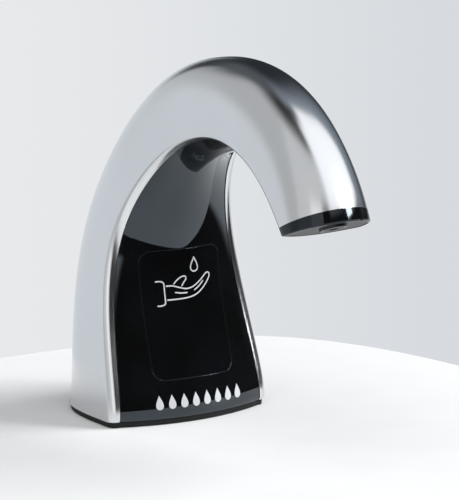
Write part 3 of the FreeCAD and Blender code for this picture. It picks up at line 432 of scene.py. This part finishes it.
def make_shell(materials):
    """The arch's wall, from the foot to the end cap."""
    along = steps(0.0, CAP_START, 0.03)
    section = Section(along[:, None])
    x, n = shell_profile(section)
    points = section.point(x, n)
    rings, around = x.shape
    faces = ring_faces(rings, around)
    outside = (around + 2) // 2
    for ring in (0, rings - 1):
        first = ring * around
        for i in range(outside - 1):
            left = [first + i, first + i + 1]
            right = [first + (around - i - 1) % around, first + (around - i) % around]
            face = tuple(dict.fromkeys(left + right))
            faces.append(face if ring else face[::-1])
    return make_piece("shell", points, faces, materials["satin_chrome"], slot="satin_chrome",
                      stands_for=["arch_shell"], bevel=0.22, sharp=50)


# The panel, its window and what is printed on them


def face_height(x, along):
    """Height of the panel's front at x and a place along the arch."""
    section = Section(along)
    return section.height + np.sin(section.tilt) * (section.face(x) + PANEL_RECESS)


def along_at(x, z):
    """The places along the arch where the panel's front at each x has height z, found by halving."""
    low, high = np.zeros(x.shape), np.full(x.shape, 2.5)
    for _ in range(40):
        middle = (low + high) / 2
        under = face_height(x, middle) < z
        low, high = np.where(under, middle, low), np.where(under, high, middle)
    return (low + high) / 2


def window_outline(grow, per_side, per_arc):
    """Points round the window's rounded outline, grown by grow, from the middle of its lower left corner.
    Each side has per_side steps, of which per_arc are on the half corner at each of its ends."""
    half, low, high = WINDOW_HALF + grow, WINDOW_LOW - grow, WINDOW_HIGH + grow
    radius = WINDOW_CORNER + grow
    middle = (low + high) / 2
    tall = (high - low) / 2
    points = []
    for side in range(4):
        turn = math.pi / 2 * side
        length, reach = ((half, tall), (tall, half))[side % 2]
        straight = np.linspace(radius - length, length - radius, per_side - 2 * per_arc + 1)
        arc = np.linspace(math.pi / 4, math.pi / 2, per_arc + 1)
        ahead = np.concatenate((straight[0] - radius * np.cos(arc[:-1]), straight,
                                straight[-1] + radius * np.cos(arc[-2::-1])))
        out = np.concatenate((radius - reach - radius * np.sin(arc[:-1]), np.full(len(straight), -reach),
                              radius - reach - radius * np.sin(arc[-2::-1])))
        x = ahead * math.cos(turn) - out * math.sin(turn)
        z = ahead * math.sin(turn) + out * math.cos(turn)
        points += list(zip(x[:-1], z[:-1] + middle))
    return np.array(points)


class Sheet:
    """A sheet bent to the panel's front, gathered as faces over (x, place along the arch) points."""

    def __init__(self):
        self.index = {}
        self.places = []
        self.faces = []

    def vertex(self, x, along):
        key = (round(float(x), 4), round(float(along), 5))
        if key not in self.index:
            self.index[key] = len(self.places)
            self.places.append((float(x), float(along)))
        return self.index[key]

    def grid(self, x, along, closed=False):
        """Quads over 2-D arrays of places; closed joins the last column to the first."""
        rows, columns = x.shape
        for i in range(rows - 1):
            for j in range(columns if closed else columns - 1):
                k = (j + 1) % columns
                corners = [(i, j), (i, k), (i + 1, k), (i + 1, j)]
                face = tuple(dict.fromkeys(self.vertex(x[c], along[c]) for c in corners))
                if len(face) > 2:
                    self.faces.append(face)

    def solid(self, name, material, thick=PANEL_THICK, lift=PANEL_RECESS, **keywords):
        """The sheet as a solid: front, back and the walls along every open edge."""
        x, along = np.array(self.places).T
        section = Section(along)
        n = section.face(x) + lift
        points = np.concatenate((section.point(x, n), section.point(x, n + thick)))
        count = len(x)
        faces = self.faces + [tuple(i + count for i in face[::-1]) for face in self.faces]
        edges = {(a, b) for face in self.faces for a, b in zip(face, face[1:] + face[:1])}
        faces += [(b, a, a + count, b + count) for a, b in edges if (b, a) not in edges]
        return make_piece(name, points, faces, material, **keywords)


def make_panel(materials):
    """The panel from the foot to the end cap, with the window's opening."""
    across, up, arc = 56, 60, 9
    low, high = 0.50, 2.02
    share = np.linspace(-1, 1, across + 1)
    sheet = Sheet()

    def edge(along):
        return Section(along).lip - PANEL_GAP

    for first, last in ((0.0, low), (high, CAP_START)):
        along = np.repeat(steps(first, last, 0.03)[:, None], across + 1, axis=1)
        sheet.grid(share * edge(along), along)
    rise = np.linspace(low, high, up + 1)
    outside = ([(s * edge(low), low) for s in share[:-1]] + [(edge(t), t) for t in rise[:-1]]
               + [(s * edge(high), high) for s in share[:0:-1]] + [(-edge(t), t) for t in rise[:0:-1]])
    outside = np.array(outside, float)
    outside_z = face_height(outside[:, 0], outside[:, 1])
    hole = ring_of_sides(WINDOW_GAP, across, up, arc)
    grow = np.linspace(0, 1, 13)[:, None] ** 1.3
    x = hole[:, 0] + (outside[:, 0] - hole[:, 0]) * grow
    z = hole[:, 1] + (outside_z - hole[:, 1]) * grow
    along = along_at(x, z)
    along[-1] = outside[:, 1]
    x[-1] = outside[:, 0]
    sheet.grid(x[::-1], along[::-1], closed=True)
    return sheet.solid("panel", materials["gloss_black"], slot="gloss_black", stands_for=["front_panel"],
                       bevel=0.12, sharp=40)


def ring_of_sides(grow, across, up, arc):
    """The window's outline with across steps on its lower and upper sides and up steps on the others."""
    wide, tall = window_outline(grow, across, arc), window_outline(grow, up, arc)
    return np.concatenate((wide[:across], tall[up:2 * up], wide[2 * across:3 * across], tall[3 * up:]))


def make_window(materials):
    """The infrared window, set flush in the panel."""
    outline = ring_of_sides(0.0, 56, 60, 9)
    middle = np.array((0, (WINDOW_LOW + WINDOW_HIGH) / 2))
    share = np.array((1.0, 0.985, 0.96, *np.linspace(0.92, 0.04, 23), 0.0))[:, None, None]
    places = middle + (outline - middle) * share
    x, z = places[..., 0], places[..., 1]
    sheet = Sheet()
    sheet.grid(x, along_at(x, z), closed=True)
    return sheet.solid("window", materials["window_black"], slot="window_black", stands_for=["ir_window"],
                       bevel=0.05, sharp=40)


# What is printed on the panel: a hand under a drop, and a row of drops low down

HAND = (
    # the open hand seen from the side: palm, fingertips and the underside
    ((-8.6, 56.2), (-5.6, 56.0), (-2.6, 55.1), (0.6, 54.3), (3.8, 54.6), (6.9, 56.0), (9.8, 58.0),
     (12.0, 59.6), (13.5, 59.3), (13.4, 57.7), (11.2, 55.2), (8.4, 52.9), (5.2, 51.3), (1.6, 50.6),
     (-2.0, 50.4), (-5.4, 50.4), (-8.6, 50.4)),
    # the thumb
    ((-5.0, 56.8), (-3.3, 58.3), (-1.2, 59.4), (0.6, 59.5), (1.0, 58.3), (-0.2, 57.0), (-1.2, 55.7)),
    # the cuff
    ((-13.2, 58.3), (-11.4, 58.3), (-9.8, 57.6), (-9.6, 55.4), (-9.6, 53.3), (-9.6, 51.2), (-9.8, 49.0),
     (-11.4, 48.3), (-13.2, 48.3)),
    # a crease between the fingers, and one in the palm
    ((5.0, 53.3), (7.4, 54.6), (9.8, 56.5)),
    ((-4.6, 53.2), (-1.8, 52.7), (1.0, 52.6)),
)
LINE = 0.55
PRINT_THICK = 0.06
DROP_ROW = 8


def curve_through(corners, per_span=7):
    """A smooth path through the corners, each bend led by the corners beside it."""
    corners = np.array(corners, float)
    ahead = np.gradient(corners, axis=0)
    u = (np.arange(per_span) / per_span)[:, None]
    spans = []
    for i in range(len(corners) - 1):
        spans.append((1 + 2 * u) * (1 - u) ** 2 * corners[i] + u * (1 - u) ** 2 * ahead[i]
                     + u * u * (3 - 2 * u) * corners[i + 1] + u * u * (u - 1) * ahead[i + 1])
    return np.concatenate((*spans, corners[-1:]))


def drop_path(x, z, half_width, half_height, count=36):
    """A drop's outline: pointed at the top, round below."""
    angle = 2 * math.pi * np.arange(count) / count
    swell = np.sin(angle) * np.sin(angle / 2) ** 1.5
    return np.column_stack((x + half_width * swell / 0.8, z + half_height * np.cos(angle)))


def print_line(sheet, path, closed=False):
    """A printed line along a path, with round ends unless it is closed."""
    half = np.full(len(path), LINE / 2)
    if closed:
        ahead = np.roll(path, -1, axis=0) - np.roll(path, 1, axis=0)
    else:
        turn = np.radians((80, 55, 28))
        before = path[0] - path[1]
        after = path[-1] - path[-2]
        before, after = before / np.linalg.norm(before), after / np.linalg.norm(after)
        reach, narrow = LINE / 2 * np.sin(turn)[:, None], LINE / 2 * np.cos(turn)
        path = np.concatenate((path[0] + before * reach, path, path[-1] + after * reach[::-1]))
        half = np.concatenate((narrow, half, narrow[::-1]))
        ahead = np.gradient(path, axis=0)
    side = np.column_stack((-ahead[:, 1], ahead[:, 0])) / np.linalg.norm(ahead, axis=1)[:, None]
    across = np.array((-1, 0, 1))[:, None, None]
    places = path + across * side * half[:, None]
    x, z = places[..., 0], places[..., 1]
    sheet.grid(x, along_at(x, z), closed=closed)


def print_drop(sheet, x, z, half_width, half_height):
    """A filled drop."""
    middle = np.array((x, z - 0.3 * half_height))
    share = np.array((1.0, 0.7, 0.35, 0.0))[:, None, None]
    places = middle + (drop_path(x, z, half_width, half_height) - middle) * share
    sheet.grid(places[..., 0], along_at(places[..., 0], places[..., 1]), closed=True)


def make_prints(materials):
    """Each printed mark as a very thin piece on the panel or the window."""
    marks = []
    for i, corners in enumerate(HAND):
        sheet = Sheet()
        print_line(sheet, curve_through(corners))
        marks.append((f"hand_line_{i}", sheet))
    sheet = Sheet()
    print_line(sheet, drop_path(5.6, 64.0, 2.1, 3.0), closed=True)
    marks.append(("hand_drop", sheet))
    for i, x in enumerate(np.linspace(-18.6, 20.6, DROP_ROW)):
        sheet = Sheet()
        print_drop(sheet, x, 9.6, 1.9, 3.0)
        marks.append((f"row_drop_{i}", sheet))
    for name, sheet in marks:
        sheet.solid(name, materials["panel_print"], thick=PRINT_THICK, lift=PANEL_RECESS - PRINT_THICK / 2)


# The end cap and the gasket


def outline_in(section, shrink=0.0):
    """The arch's closed outline in one section, crowned face included, moved inwards by shrink."""
    rim_angle = np.linspace(0, math.pi / 2, 9)
    back_angle = np.linspace(0, math.pi, 73)[1:-1]
    rim_x, rim_n = section.rim(rim_angle)
    outer_x, outer_n = section.oval(section.half, section.rim_depth, section.depth, back_angle)
    face_x = np.linspace(-1, 1, 41)[1:-1] * section.lip
    x = np.concatenate((rim_x, outer_x, -rim_x[::-1], face_x))
    n = np.concatenate((rim_n, outer_n, rim_n[::-1], section.face(face_x)))
    if shrink:
        ahead_x, ahead_n = np.roll(x, -1) - np.roll(x, 1), np.roll(n, -1) - np.roll(n, 1)
        length = np.hypot(ahead_x, ahead_n)
        x, n = x - shrink * ahead_n / length, n + shrink * ahead_x / length
    return x, n


def make_cap(materials):
    """The end cap: a band with a chamfered lip, and the face plate with the nozzle's hole set in it."""
    end = Section(TIP)
    to_along = 1 / 22.0
    loops = []

    def loop(along, shrink=0.0):
        x, n = outline_in(Section(along), shrink)
        loops.append(Section(along).point(x, n))

    for along in np.linspace(CAP_START, TIP - LIP_CHAMFER * to_along, 5):
        loop(along)
    loop(TIP, LIP_CHAMFER)
    loop(TIP, LIP_WIDTH - 0.1)
    loop(TIP - 0.1 * to_along, LIP_WIDTH)
    loop(CAP_FACE, LIP_WIDTH)
    loop(CAP_START, CAP_WALL + 0.3)
    points = np.array(loops)
    make_piece("cap", points, ring_faces(len(loops), points.shape[1], closed=True), materials["cap_black"],
               slot="cap_black", stands_for=["end_cap"], bevel=0.1, sharp=25)

    x, n = outline_in(end, LIP_WIDTH + 0.02)
    angle = np.arctan2(n - NOZZLE_OFFSET, x)
    hole_x, hole_n = NOZZLE_HOLE * np.cos(angle), NOZZLE_OFFSET + NOZZLE_HOLE * np.sin(angle)
    loops = []
    shares = np.linspace(0, 1, 7)
    for along, way in ((TIP - FACE_RECESS * to_along, shares), (CAP_FACE, shares[::-1])):
        for share in way:
            loops.append(Section(along).point(x + (hole_x - x) * share, n + (hole_n - n) * share))
    faces = ring_faces(len(loops), len(x), closed=True)
    make_piece("cap_face", np.array(loops), faces, materials["cap_matt"], slot="cap_black", bevel=0.15)


def make_gasket(materials):
    """The rubber gasket under the foot, with the collar's hole."""
    x, n = outline_in(Section(0.0), GASKET_INSET)
    foot = Section(0.0)
    outer = foot.point(x, n)[:, :2]
    angle = np.arctan2(outer[:, 1], outer[:, 0])
    hole = (COLLAR_RADIUS + 0.5) * np.stack((np.cos(angle), np.sin(angle)), -1)
    loops = []
    for z, shares in ((0.0, np.linspace(1, 0, 5)), (GASKET_THICK, np.linspace(0, 1, 5))):
        for share in shares:
            flat = outer + (hole - outer) * share
            loops.append(np.column_stack((flat, np.full(len(flat), z))))
    faces = ring_faces(len(loops), len(x), closed=True)
    return make_piece("gasket", np.array(loops), faces, materials["gasket_rubber"], slot="gasket_rubber",
                      stands_for=["base_gasket"], bevel=0.35)


# The screw bosses in the arch, and the shank and nut under the counter


def make_bosses(materials):
    """The two drilled bosses inside the arch's foot."""
    outline = (
        (BOSS_PILOT, BOSS_LOW),
        (BOSS_RADIUS, BOSS_LOW),
        (BOSS_RADIUS, BOSS_HIGH),
        (BOSS_PILOT, BOSS_HIGH),
    )
    for side, x in (("left", -BOSS_ACROSS), ("right", BOSS_ACROSS)):
        turned("boss_" + side, outline, materials["satin_chrome"], place=(x, BOSS_BACK, 0),
               slot="satin_chrome", bevel=0.3)


def thread_depth(height, angle):
    """How deep a trapezoid thread is cut at a height and an angle: 0 on a crest, 1 in a root."""
    phase = (height / THREAD_PITCH - angle / (2 * math.pi)) % 1.0
    return np.clip(np.abs(phase - 0.5) * 5 - 0.75, 0, 1)


def turned_ring(radius, height, angle):
    """Points round the Z axis; the radius may vary with the angle."""
    across, back = radius * np.cos(angle), radius * np.sin(angle)
    return np.stack(np.broadcast_arrays(across, back, height), -1)


def make_shank(materials):
    """The hollow shank: its flange, the collar, the long thread and a chamfered lower end."""
    count = 96
    angle = 2 * math.pi * np.arange(count) / count
    low, high = -SHANK_REACH, -COLLAR_REACH - 1.5
    thread_low = low + 0.8
    rings = []
    for height in steps(thread_low, high, THREAD_PITCH / 10):
        fade = smooth_step((height - thread_low) / 1.5) * smooth_step((high - height) / 2.0)
        in_lower_half = height < -SHANK_REACH / 2
        core = SHANK_RADIUS - THREAD_DEPTH * (1 - fade) * in_lower_half
        rings.append(turned_ring(core - THREAD_DEPTH * fade * thread_depth(height, angle), height, angle))
    outline = (
        (SHANK_RADIUS, -COLLAR_REACH - 0.6),
        (COLLAR_RADIUS - 0.4, -COLLAR_REACH),
        (COLLAR_RADIUS, -COLLAR_REACH + 0.4),
        (COLLAR_RADIUS, -0.3),
        (NECK_RADIUS, 0.0),
        (NECK_RADIUS, FLANGE_LOW),
        (FLANGE_RADIUS - 0.4, FLANGE_LOW),
        (FLANGE_RADIUS, FLANGE_LOW + 0.4),
        (FLANGE_RADIUS, FLANGE_HIGH - 0.5),
        (FLANGE_RADIUS - 0.5, FLANGE_HIGH),
        (SHANK_BORE + 0.5, FLANGE_HIGH),
        (SHANK_BORE, FLANGE_HIGH - 0.5),
        (SHANK_BORE, low + 0.5),
        (SHANK_BORE + 0.5, low),
        (SHANK_RADIUS - THREAD_DEPTH - 0.4, low),
    )
    rings += [turned_ring(radius, height, angle) for radius, height in outline]
    faces = ring_faces(len(rings), count, closed=True)
    make_piece("shank", np.array(rings), faces, materials["shank_brass"], slot="shank_brass",
               stands_for=["threaded_shank"], sharp=42)


def make_wing_nut(materials):
    """The wing nut: a fluted hub with a chamfered bore, and three tapered wings."""
    count = 180
    angle = 2 * math.pi * np.arange(count) / count
    flute = FLUTE_DEPTH * (0.5 - 0.5 * np.cos(FLUTES * angle)) ** 2
    low, high = NUT_TOP - NUT_HEIGHT, NUT_TOP
    outline = (
        # radius, height, share of the flutes' depth
        (NUT_BORE, low + 0.8, 0),
        (NUT_BORE + 0.8, low, 0),
        (NUT_RADIUS - 1.4, low, 0),
        (NUT_RADIUS - 0.4, low + 0.4, 0.6),
        (NUT_RADIUS, low + 1.4, 1),
        (NUT_RADIUS, high - 2.6, 1),
        (NUT_RADIUS, high - 2.2, 0),
        (NUT_RADIUS, high - 0.5, 0),
        (NUT_RADIUS - 0.5, high, 0),
        (NUT_BORE + 0.8, high, 0),
        (NUT_BORE, high - 0.8, 0),
    )
    rings = [turned_ring(radius - flute * share, height, angle) for radius, height, share in outline]
    faces = ring_faces(len(rings), count, closed=True)
    make_piece("nut_hub", np.array(rings), faces, materials["nut_plastic"], body="wing_nut",
               slot="nut_plastic", stands_for=["mounting_nut"], sharp=35)
    for i in range(WINGS):
        make_wing(f"nut_wing_{i}", 2 * math.pi * i / WINGS, materials)


def make_wing(name, turn, materials):
    """One wing of the nut: a blade that thins and slopes towards a rounded end."""
    count = 32
    low, root, round_from = NUT_TOP - NUT_HEIGHT, NUT_RADIUS - 2.5, 0.86
    half_thick, half_tall = 2.5, 4.0
    around = 2 * math.pi * (np.arange(count) + 0.5) / count
    square = (np.cos(around) ** 4 + np.sin(around) ** 4) ** 0.25
    tip_angles = np.radians((25, 50, 70, 82, 89))
    rounding = round_from + (1 - round_from) * np.sin(tip_angles)
    shares = np.concatenate((steps(0.0, round_from, 0.09), rounding))
    rings = []
    for share in shares:
        past = max(0.0, share - round_from) / (1 - round_from)
        end = math.sqrt(max(0.0, 1 - past ** 2))
        thick = (half_thick - 0.7 * share) * (0.35 + 0.65 * end)
        tall = (half_tall - smooth_step(share)) * (0.55 + 0.45 * end)
        x = np.full(count, root + (WING_REACH - root) * share)
        y = half_thick + thick * np.cos(around) / square
        z = low + half_tall + tall * np.sin(around) / square
        rings.append(np.column_stack((x * math.cos(turn) - y * math.sin(turn),
                                      x * math.sin(turn) + y * math.cos(turn), z)))
    last = (len(rings) - 1) * count
    faces = ring_faces(len(rings), count)
    faces += [tuple(range(count - 1, -1, -1)), tuple(range(last, last + count))]
    make_piece(name, np.array(rings), faces, materials["nut_plastic"], body="wing_nut", slot="nut_plastic",
               sharp=60)


# Pieces that keep their CAD shape

# How far the sharp edges of the CAD nodes are rounded, in mm; the rest get SMALL_ROUND.
SMALL_ROUND = 0.15
ROUNDS = {
    "clamp_washer": 0.35,
    "rubber_washer": 0.5,
    "base_plate": 0.3,
    "shank_bushing": 0.4,
    "sensor_bracket": 0.25,
    "tube_clips": 0.25,
    "sensor_board": 0.08,
    "board_chips": 0.08,
    "light_baffle": 0.2,
}

# These have no sharp edge to round.
LEFT_SHARP = ("valve_spring", "soap_tube", "sensor_cable", "valve_seal")


def dress_cad_nodes(materials):
    """Give every CAD node that still shows its slot's material, and round its sharp edges a little."""
    slots = {part["node"]: part["material_slot"] for part in frame["record"]["subparts"]}
    for name, node in frame["nodes"].items():
        if node.hide_render:
            continue
        node.data.materials.clear()
        node.data.materials.append(materials[slots[name]])
        if name not in LEFT_SHARP:
            weld = node.modifiers.new("weld", "WELD")
            weld.merge_threshold = 0.000002
            add_bevel(node, ROUNDS.get(name, SMALL_ROUND), 40, segments=2)


# The stage


def counter_edge(count):
    """The counter's outline: a wide rounded slab, as (x, y) in mm."""
    angle = 2 * math.pi * np.arange(count) / count
    across, along = np.cos(angle), np.sin(angle)
    half_width, middle_x, middle_y = 178.0, -20.0, -120.0
    length = np.where(along > 0, 240.0, 130.0)
    power = np.where(along > 0, 3.65, 5.5)
    reach = (np.abs(across / half_width) ** power + np.abs(along / length) ** power) ** (1 / power)
    return np.column_stack((middle_x + across / reach, middle_y + along / reach))


def make_counter():
    """The white counter that the spout stands on, with the hole for the collar."""
    material = make_material("counter_white", low=grey(0.755), high=grey(0.77, 0.002), rough=(0.55, 0.65),
                             grain=900.0, bump=0.02)
    outer = counter_edge(160)
    angle = np.arctan2(outer[:, 1], outer[:, 0])
    hole = (COLLAR_RADIUS + 0.3) * np.stack((np.cos(angle), np.sin(angle)), -1)
    loops = []
    for z, shares in ((-COUNTER_THICK, np.linspace(1, 0, 8)), (0.0, np.linspace(0, 1, 8))):
        for share in shares:
            flat = outer + (hole - outer) * share
            loops.append(np.column_stack((flat, np.full(len(flat), z))))
    faces = ring_faces(len(loops), len(outer), closed=True)
    counter = make_piece("counter", np.array(loops), faces, material, body=None, bevel=3.0, sharp=60)


def make_camera():
    """The camera, low and to the spout's left, with a long lens."""
    yaw, pitch = math.radians(-34.58), math.radians(10.78)
    distance, aside = 1.1264, 0.00711
    back = Vector((math.sin(yaw) * math.cos(pitch), -math.cos(yaw) * math.cos(pitch), math.sin(pitch)))
    right = (-back).cross(Vector((0, 0, 1))).normalized()
    target = Vector((0, -0.0654, 0.078))
    data = bpy.data.cameras.new("camera")
    data.lens = 201.07
    data.sensor_width = 36.0
    data.clip_start, data.clip_end = 0.05, 20.0
    camera = bpy.data.objects.new("camera", data)
    camera.location = target + back * distance
    aim = target - right * aside - camera.location
    camera.rotation_euler = aim.to_track_quat("-Z", "Y").to_euler()
    bpy.context.scene.collection.objects.link(camera)
    bpy.context.scene.camera = camera


def direction(azimuth, elevation):
    """A direction in the row frame: azimuth 0 is in front of the spout and 90 is on its +X side."""
    a, e = math.radians(azimuth), math.radians(elevation)
    return Vector((math.sin(a) * math.cos(e), -math.cos(a) * math.cos(e), math.sin(e)))


def make_world():
    """Soft studio light: a pale backdrop behind, a large soft light in front and above, and darkness
    between. The camera sees a pale backdrop instead of all that."""
    world = bpy.data.worlds.new("studio")
    world.use_nodes = True
    bpy.context.scene.world = world
    nodes = Nodes(world.node_tree)
    way = nodes.add("ShaderNodeTexCoord").outputs["Generated"]
    parts = nodes.add("ShaderNodeSeparateXYZ", Vector=way).outputs
    height = nodes.math("ARCSINE", parts["Z"])
    azimuth = nodes.math("ARCTAN2", parts["X"], nodes.math("MULTIPLY", parts["Y"], -1.0))

    def band(value, low, high, soft):
        """1 between low and high degrees, falling off over soft degrees on both sides."""
        low, high, soft = (math.radians(v) for v in (low, high, soft))
        rise = nodes.remap(value, low - soft / 2, low + soft / 2, 0.0, 1.0, smooth=True)
        fall = nodes.remap(value, high - soft / 2, high + soft / 2, 1.0, 0.0, smooth=True)
        return nodes.math("MULTIPLY", rise, fall)

    def patch(azimuths, heights, soft):
        """1 in a window of directions, falling off round it."""
        return nodes.math("MULTIPLY", band(azimuth, *azimuths, soft), band(height, *heights, soft))

    light = grey(0.014)
    layers = (
        # azimuths, heights, softness, colour
        ((80, 160), (6, 95), 12, (0.22, 0.255, 0.30, 1)),
        ((116, 175), (-10, 64), 34, (0.02, 0.025, 0.03, 1)),
        ((-200, -30), (-30, 66), 26, (0.55, 0.56, 0.57, 1)),
        ((-200, -118), (-40, 14), 16, (0.76, 0.80, 0.84, 1)),
        ((-215, -158), (32, 90), 24, (0.10, 0.11, 0.12, 1)),
        ((152, 200), (32, 90), 24, (0.10, 0.11, 0.12, 1)),
        ((150, 200), (-40, 14), 12, (0.78, 0.81, 0.85, 1)),
        ((84, 200), (-60, -3), 10, (0.78, 0.81, 0.84, 1)),
        ((-88, -19), (-4, 60), 6, (0.70, 0.71, 0.72, 1)),
        ((-50, -17), (-4, 34), 4, (1.12, 1.13, 1.14, 1)),
        ((-88, 4), (31, 60), 9, (0.70, 0.71, 0.72, 1)),
        ((2, 88), (24, 76), 8, (1.3, 1.32, 1.35, 1)),
        ((41, 82), (17, 40), 3, (1.3, 1.32, 1.35, 1)),
        ((40, 52), (17.2, 28), 2, (24.0, 24.5, 25.0, 1)),
    )
    for azimuths, heights, soft, colour in layers:
        light = nodes.mix(patch(azimuths, heights, soft), light, colour)
    rise = nodes.remap(azimuth, math.radians(139), math.radians(151), 0.0, 1.0, smooth=True)
    fall = nodes.remap(azimuth, math.radians(-150), math.radians(-90), 1.0, 0.0, smooth=True)
    seen = nodes.mix(nodes.math("MAXIMUM", rise, fall), (0.665, 0.69, 0.725, 1), (0.80, 0.815, 0.83, 1))
    straight = nodes.add("ShaderNodeLightPath").outputs["Is Camera Ray"]
    background = nodes.add("ShaderNodeBackground", Color=nodes.mix(straight, light, seen))
    output = nodes.add("ShaderNodeOutputWorld")
    nodes.put(output, "Surface", background.outputs[0])


def make_area_light(name, azimuth, elevation, size, power, distance=1.6):
    """A soft round light that looks at the spout and isn't seen in reflections."""
    data = bpy.data.lights.new(name, "AREA")
    data.shape = "DISK"
    data.size = size
    data.energy = power
    light = bpy.data.objects.new(name, data)
    way = direction(azimuth, elevation)
    light.location = way * distance
    light.rotation_euler = (-way).to_track_quat("-Z", "Y").to_euler()
    light.visible_glossy = False
    light.visible_camera = False
    bpy.context.scene.collection.objects.link(light)


def make_stage():
    """Everything round the spout: the counter, the camera and the light."""
    make_counter()
    make_camera()
    make_world()
    make_area_light("key", 62, 48, size=0.9, power=17.5)
    make_area_light("fill", -60, 70, size=1.2, power=8.0)
    bpy.context.scene.view_settings.view_transform = "Standard"


def make_spout(materials):
    """Every new piece, and then the finish of the CAD nodes that still show."""
    make_shell(materials)
    make_panel(materials)
    make_window(materials)
    make_prints(materials)
    make_cap(materials)
    make_gasket(materials)
    make_bosses(materials)
    make_shank(materials)
    make_wing_nut(materials)
    dress_cad_nodes(materials)


make_spout(make_materials())
make_stage()
